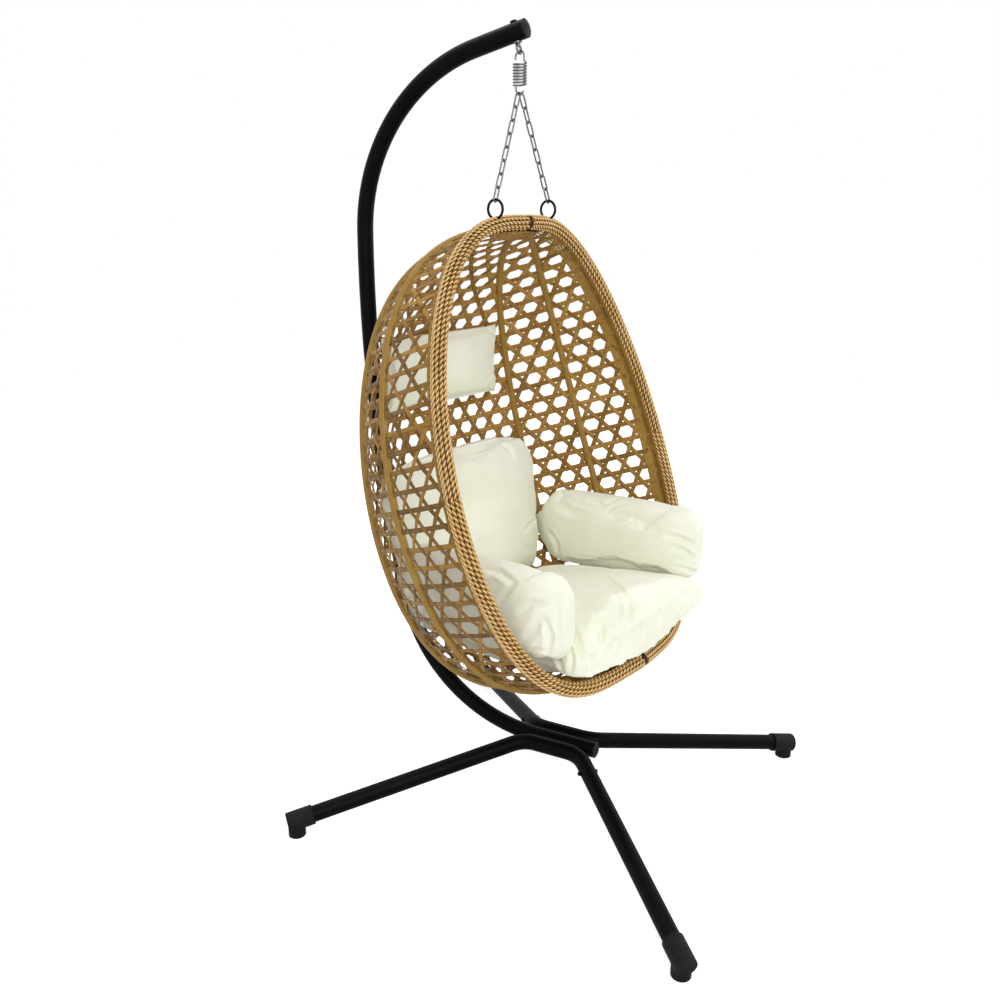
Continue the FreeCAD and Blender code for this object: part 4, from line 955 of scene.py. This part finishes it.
def evenMesh(mesh, name, voxel):
    # the same closed form with even faces
    piece = bpy.data.objects.new(name, mesh)
    bpy.context.scene.collection.objects.link(piece)
    remesh = piece.modifiers.new("even", "REMESH")
    remesh.mode = "VOXEL"
    remesh.voxel_size = voxel
    even = evaluatedMesh(piece)
    bpy.data.objects.remove(piece)
    return even


def fillCover(piece, settings):
    # cloth a little too large for its filling, blown up from a slightly smaller start, then capped
    start = meshPoints(piece.data)
    cloth = piece.modifiers.new("cover", "CLOTH")
    use = cloth.settings
    use.quality = clothModel["quality"]
    use.mass = clothModel["mass"]
    use.tension_stiffness = use.compression_stiffness = clothModel["stretch"]
    use.shear_stiffness = clothModel["shear"]
    use.bending_stiffness = clothModel["bending"]
    use.shrink_min = use.shrink_max = -settings["growth"]
    use.use_pressure = True
    use.uniform_pressure_force = settings["pressure"]
    use.effector_weights.gravity = 0.0
    scene = bpy.context.scene
    for number in range(clothModel["frames"]):
        scene.frame_set(number + 1)
    blown = evaluatedMesh(piece)
    moved = meshPoints(blown) - start
    normals = meshNormals(piece.data)
    # edges draw in no further than the cushion's own share of them
    outwards = np.sum(moved * normals, axis=1, keepdims=True)
    moved = moved + normals * np.maximum(-settings["drawnIn"] - outwards, 0.0)
    far = np.linalg.norm(moved, axis=1, keepdims=True)
    # the cap falls from its full value to the resting one as the cover turns to what carries it
    rests = unit(np.array(settings["rests"]))
    lean = np.clip(normals @ rests, 0, 1)[:, None]
    cap = settings["cap"] + (restingCap - settings["cap"]) * lean
    moved = moved * np.minimum(1.0, cap / np.maximum(far, 1e-9))
    piece.modifiers.remove(cloth)
    bpy.data.meshes.remove(blown)
    scene.frame_set(1)
    setPoints(piece.data, start + moved)


def photoRay(pixel):
    # from the camera through a pixel of the photograph
    camera = bpy.context.scene.camera
    focal = cameraPlace["focalPixels"]
    half = cameraPlace["imagePixels"] / 2
    way = Vector(((pixel[0] - half) / focal, (half - pixel[1]) / focal, -1.0))
    return camera.matrix_world.translation, (camera.matrix_world.to_3x3() @ way).normalized()


def foldLine(tree, pixels):
    # points on the cushion under the fold, each with its share of the fold's depth
    bends = np.array(pixels, float)
    knots = np.linspace(0, 1, len(bends))
    line = []
    for share in np.linspace(0, 1, foldShape["samples"]):
        pixel = [np.interp(share, knots, bends[:, axis]) for axis in (0, 1)]
        start, way = photoRay(pixel)
        place = tree.ray_cast(start, way)[0]
        if place is not None:
            inset = foldShape["endShare"] + (1 - 2 * foldShape["endShare"]) * share
            line.append((*place, math.sin(math.pi * inset)))
    return np.array(line)


def pressFolds(mesh, folds):
    # each fold is a soft groove with a low ridge on either side, shallower towards its ends
    points, normals = meshPoints(mesh), meshNormals(mesh)
    working = bmesh.new()
    working.from_mesh(mesh)
    tree = BVHTree.FromBMesh(working)
    working.free()
    moved = np.zeros(len(points))
    for pixels, width, depth in folds:
        line = foldLine(tree, pixels)
        if len(line) < foldShape["fewest"]:
            continue
        nearest = np.full(len(points), np.inf)
        taper = np.zeros(len(points))
        for a, b in zip(line[:-1], line[1:]):
            part = b[:3] - a[:3]
            share = np.clip((points - a[:3]) @ part / max(float(part @ part), 1e-12), 0, 1)
            apart = np.linalg.norm(points - a[:3] - share[:, None] * part, axis=1)
            closer = apart < nearest
            nearest = np.where(closer, apart, nearest)
            taper = np.where(closer, a[3] + share * (b[3] - a[3]), taper)
        reach = nearest / width
        ridge = np.exp(-((reach - foldShape["ridgeAt"]) / foldShape["ridgeWidth"]) ** 2)
        groove = np.exp(-reach ** 2) - foldShape["ridge"] * ridge
        moved -= depth * taper * groove
    setPoints(mesh, points + normals * moved[:, None])


def stuffedCushion(node, settings):
    mesh = mergedCopy(node, settings["piece"])
    mesh = evenMesh(mesh, settings["piece"], settings["voxel"])
    setPoints(mesh, meshPoints(mesh) - meshNormals(mesh) * settings["shrink"])
    mesh.name = settings["piece"]
    piece = bpy.data.objects.new(settings["piece"], mesh)
    bpy.context.scene.collection.objects.link(piece)
    fillCover(piece, settings)
    for neighbour in settings["against"]:
        press = piece.modifiers.new("press", "SHRINKWRAP")
        press.target = bpy.data.objects[neighbour]
        press.wrap_mode = "OUTSIDE"
        press.offset = contactGap
    piece.modifiers.new("smooth", "SUBSURF").levels = 1
    piece.data = mesh = evaluatedMesh(piece)
    piece.modifiers.clear()
    mesh.name = settings["piece"]
    pressFolds(mesh, foldsInPhoto[settings["piece"]])
    mesh.materials.clear()
    mesh.materials.append(coverFabric)
    mesh.polygons.foreach_set("use_smooth", np.full(len(mesh.polygons), True))
    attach(piece, "basket")
    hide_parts(node)
    print("stuffed", settings["piece"], len(mesh.polygons), "faces")


for node, settings in cushions.items():
    stuffedCushion(node, settings)
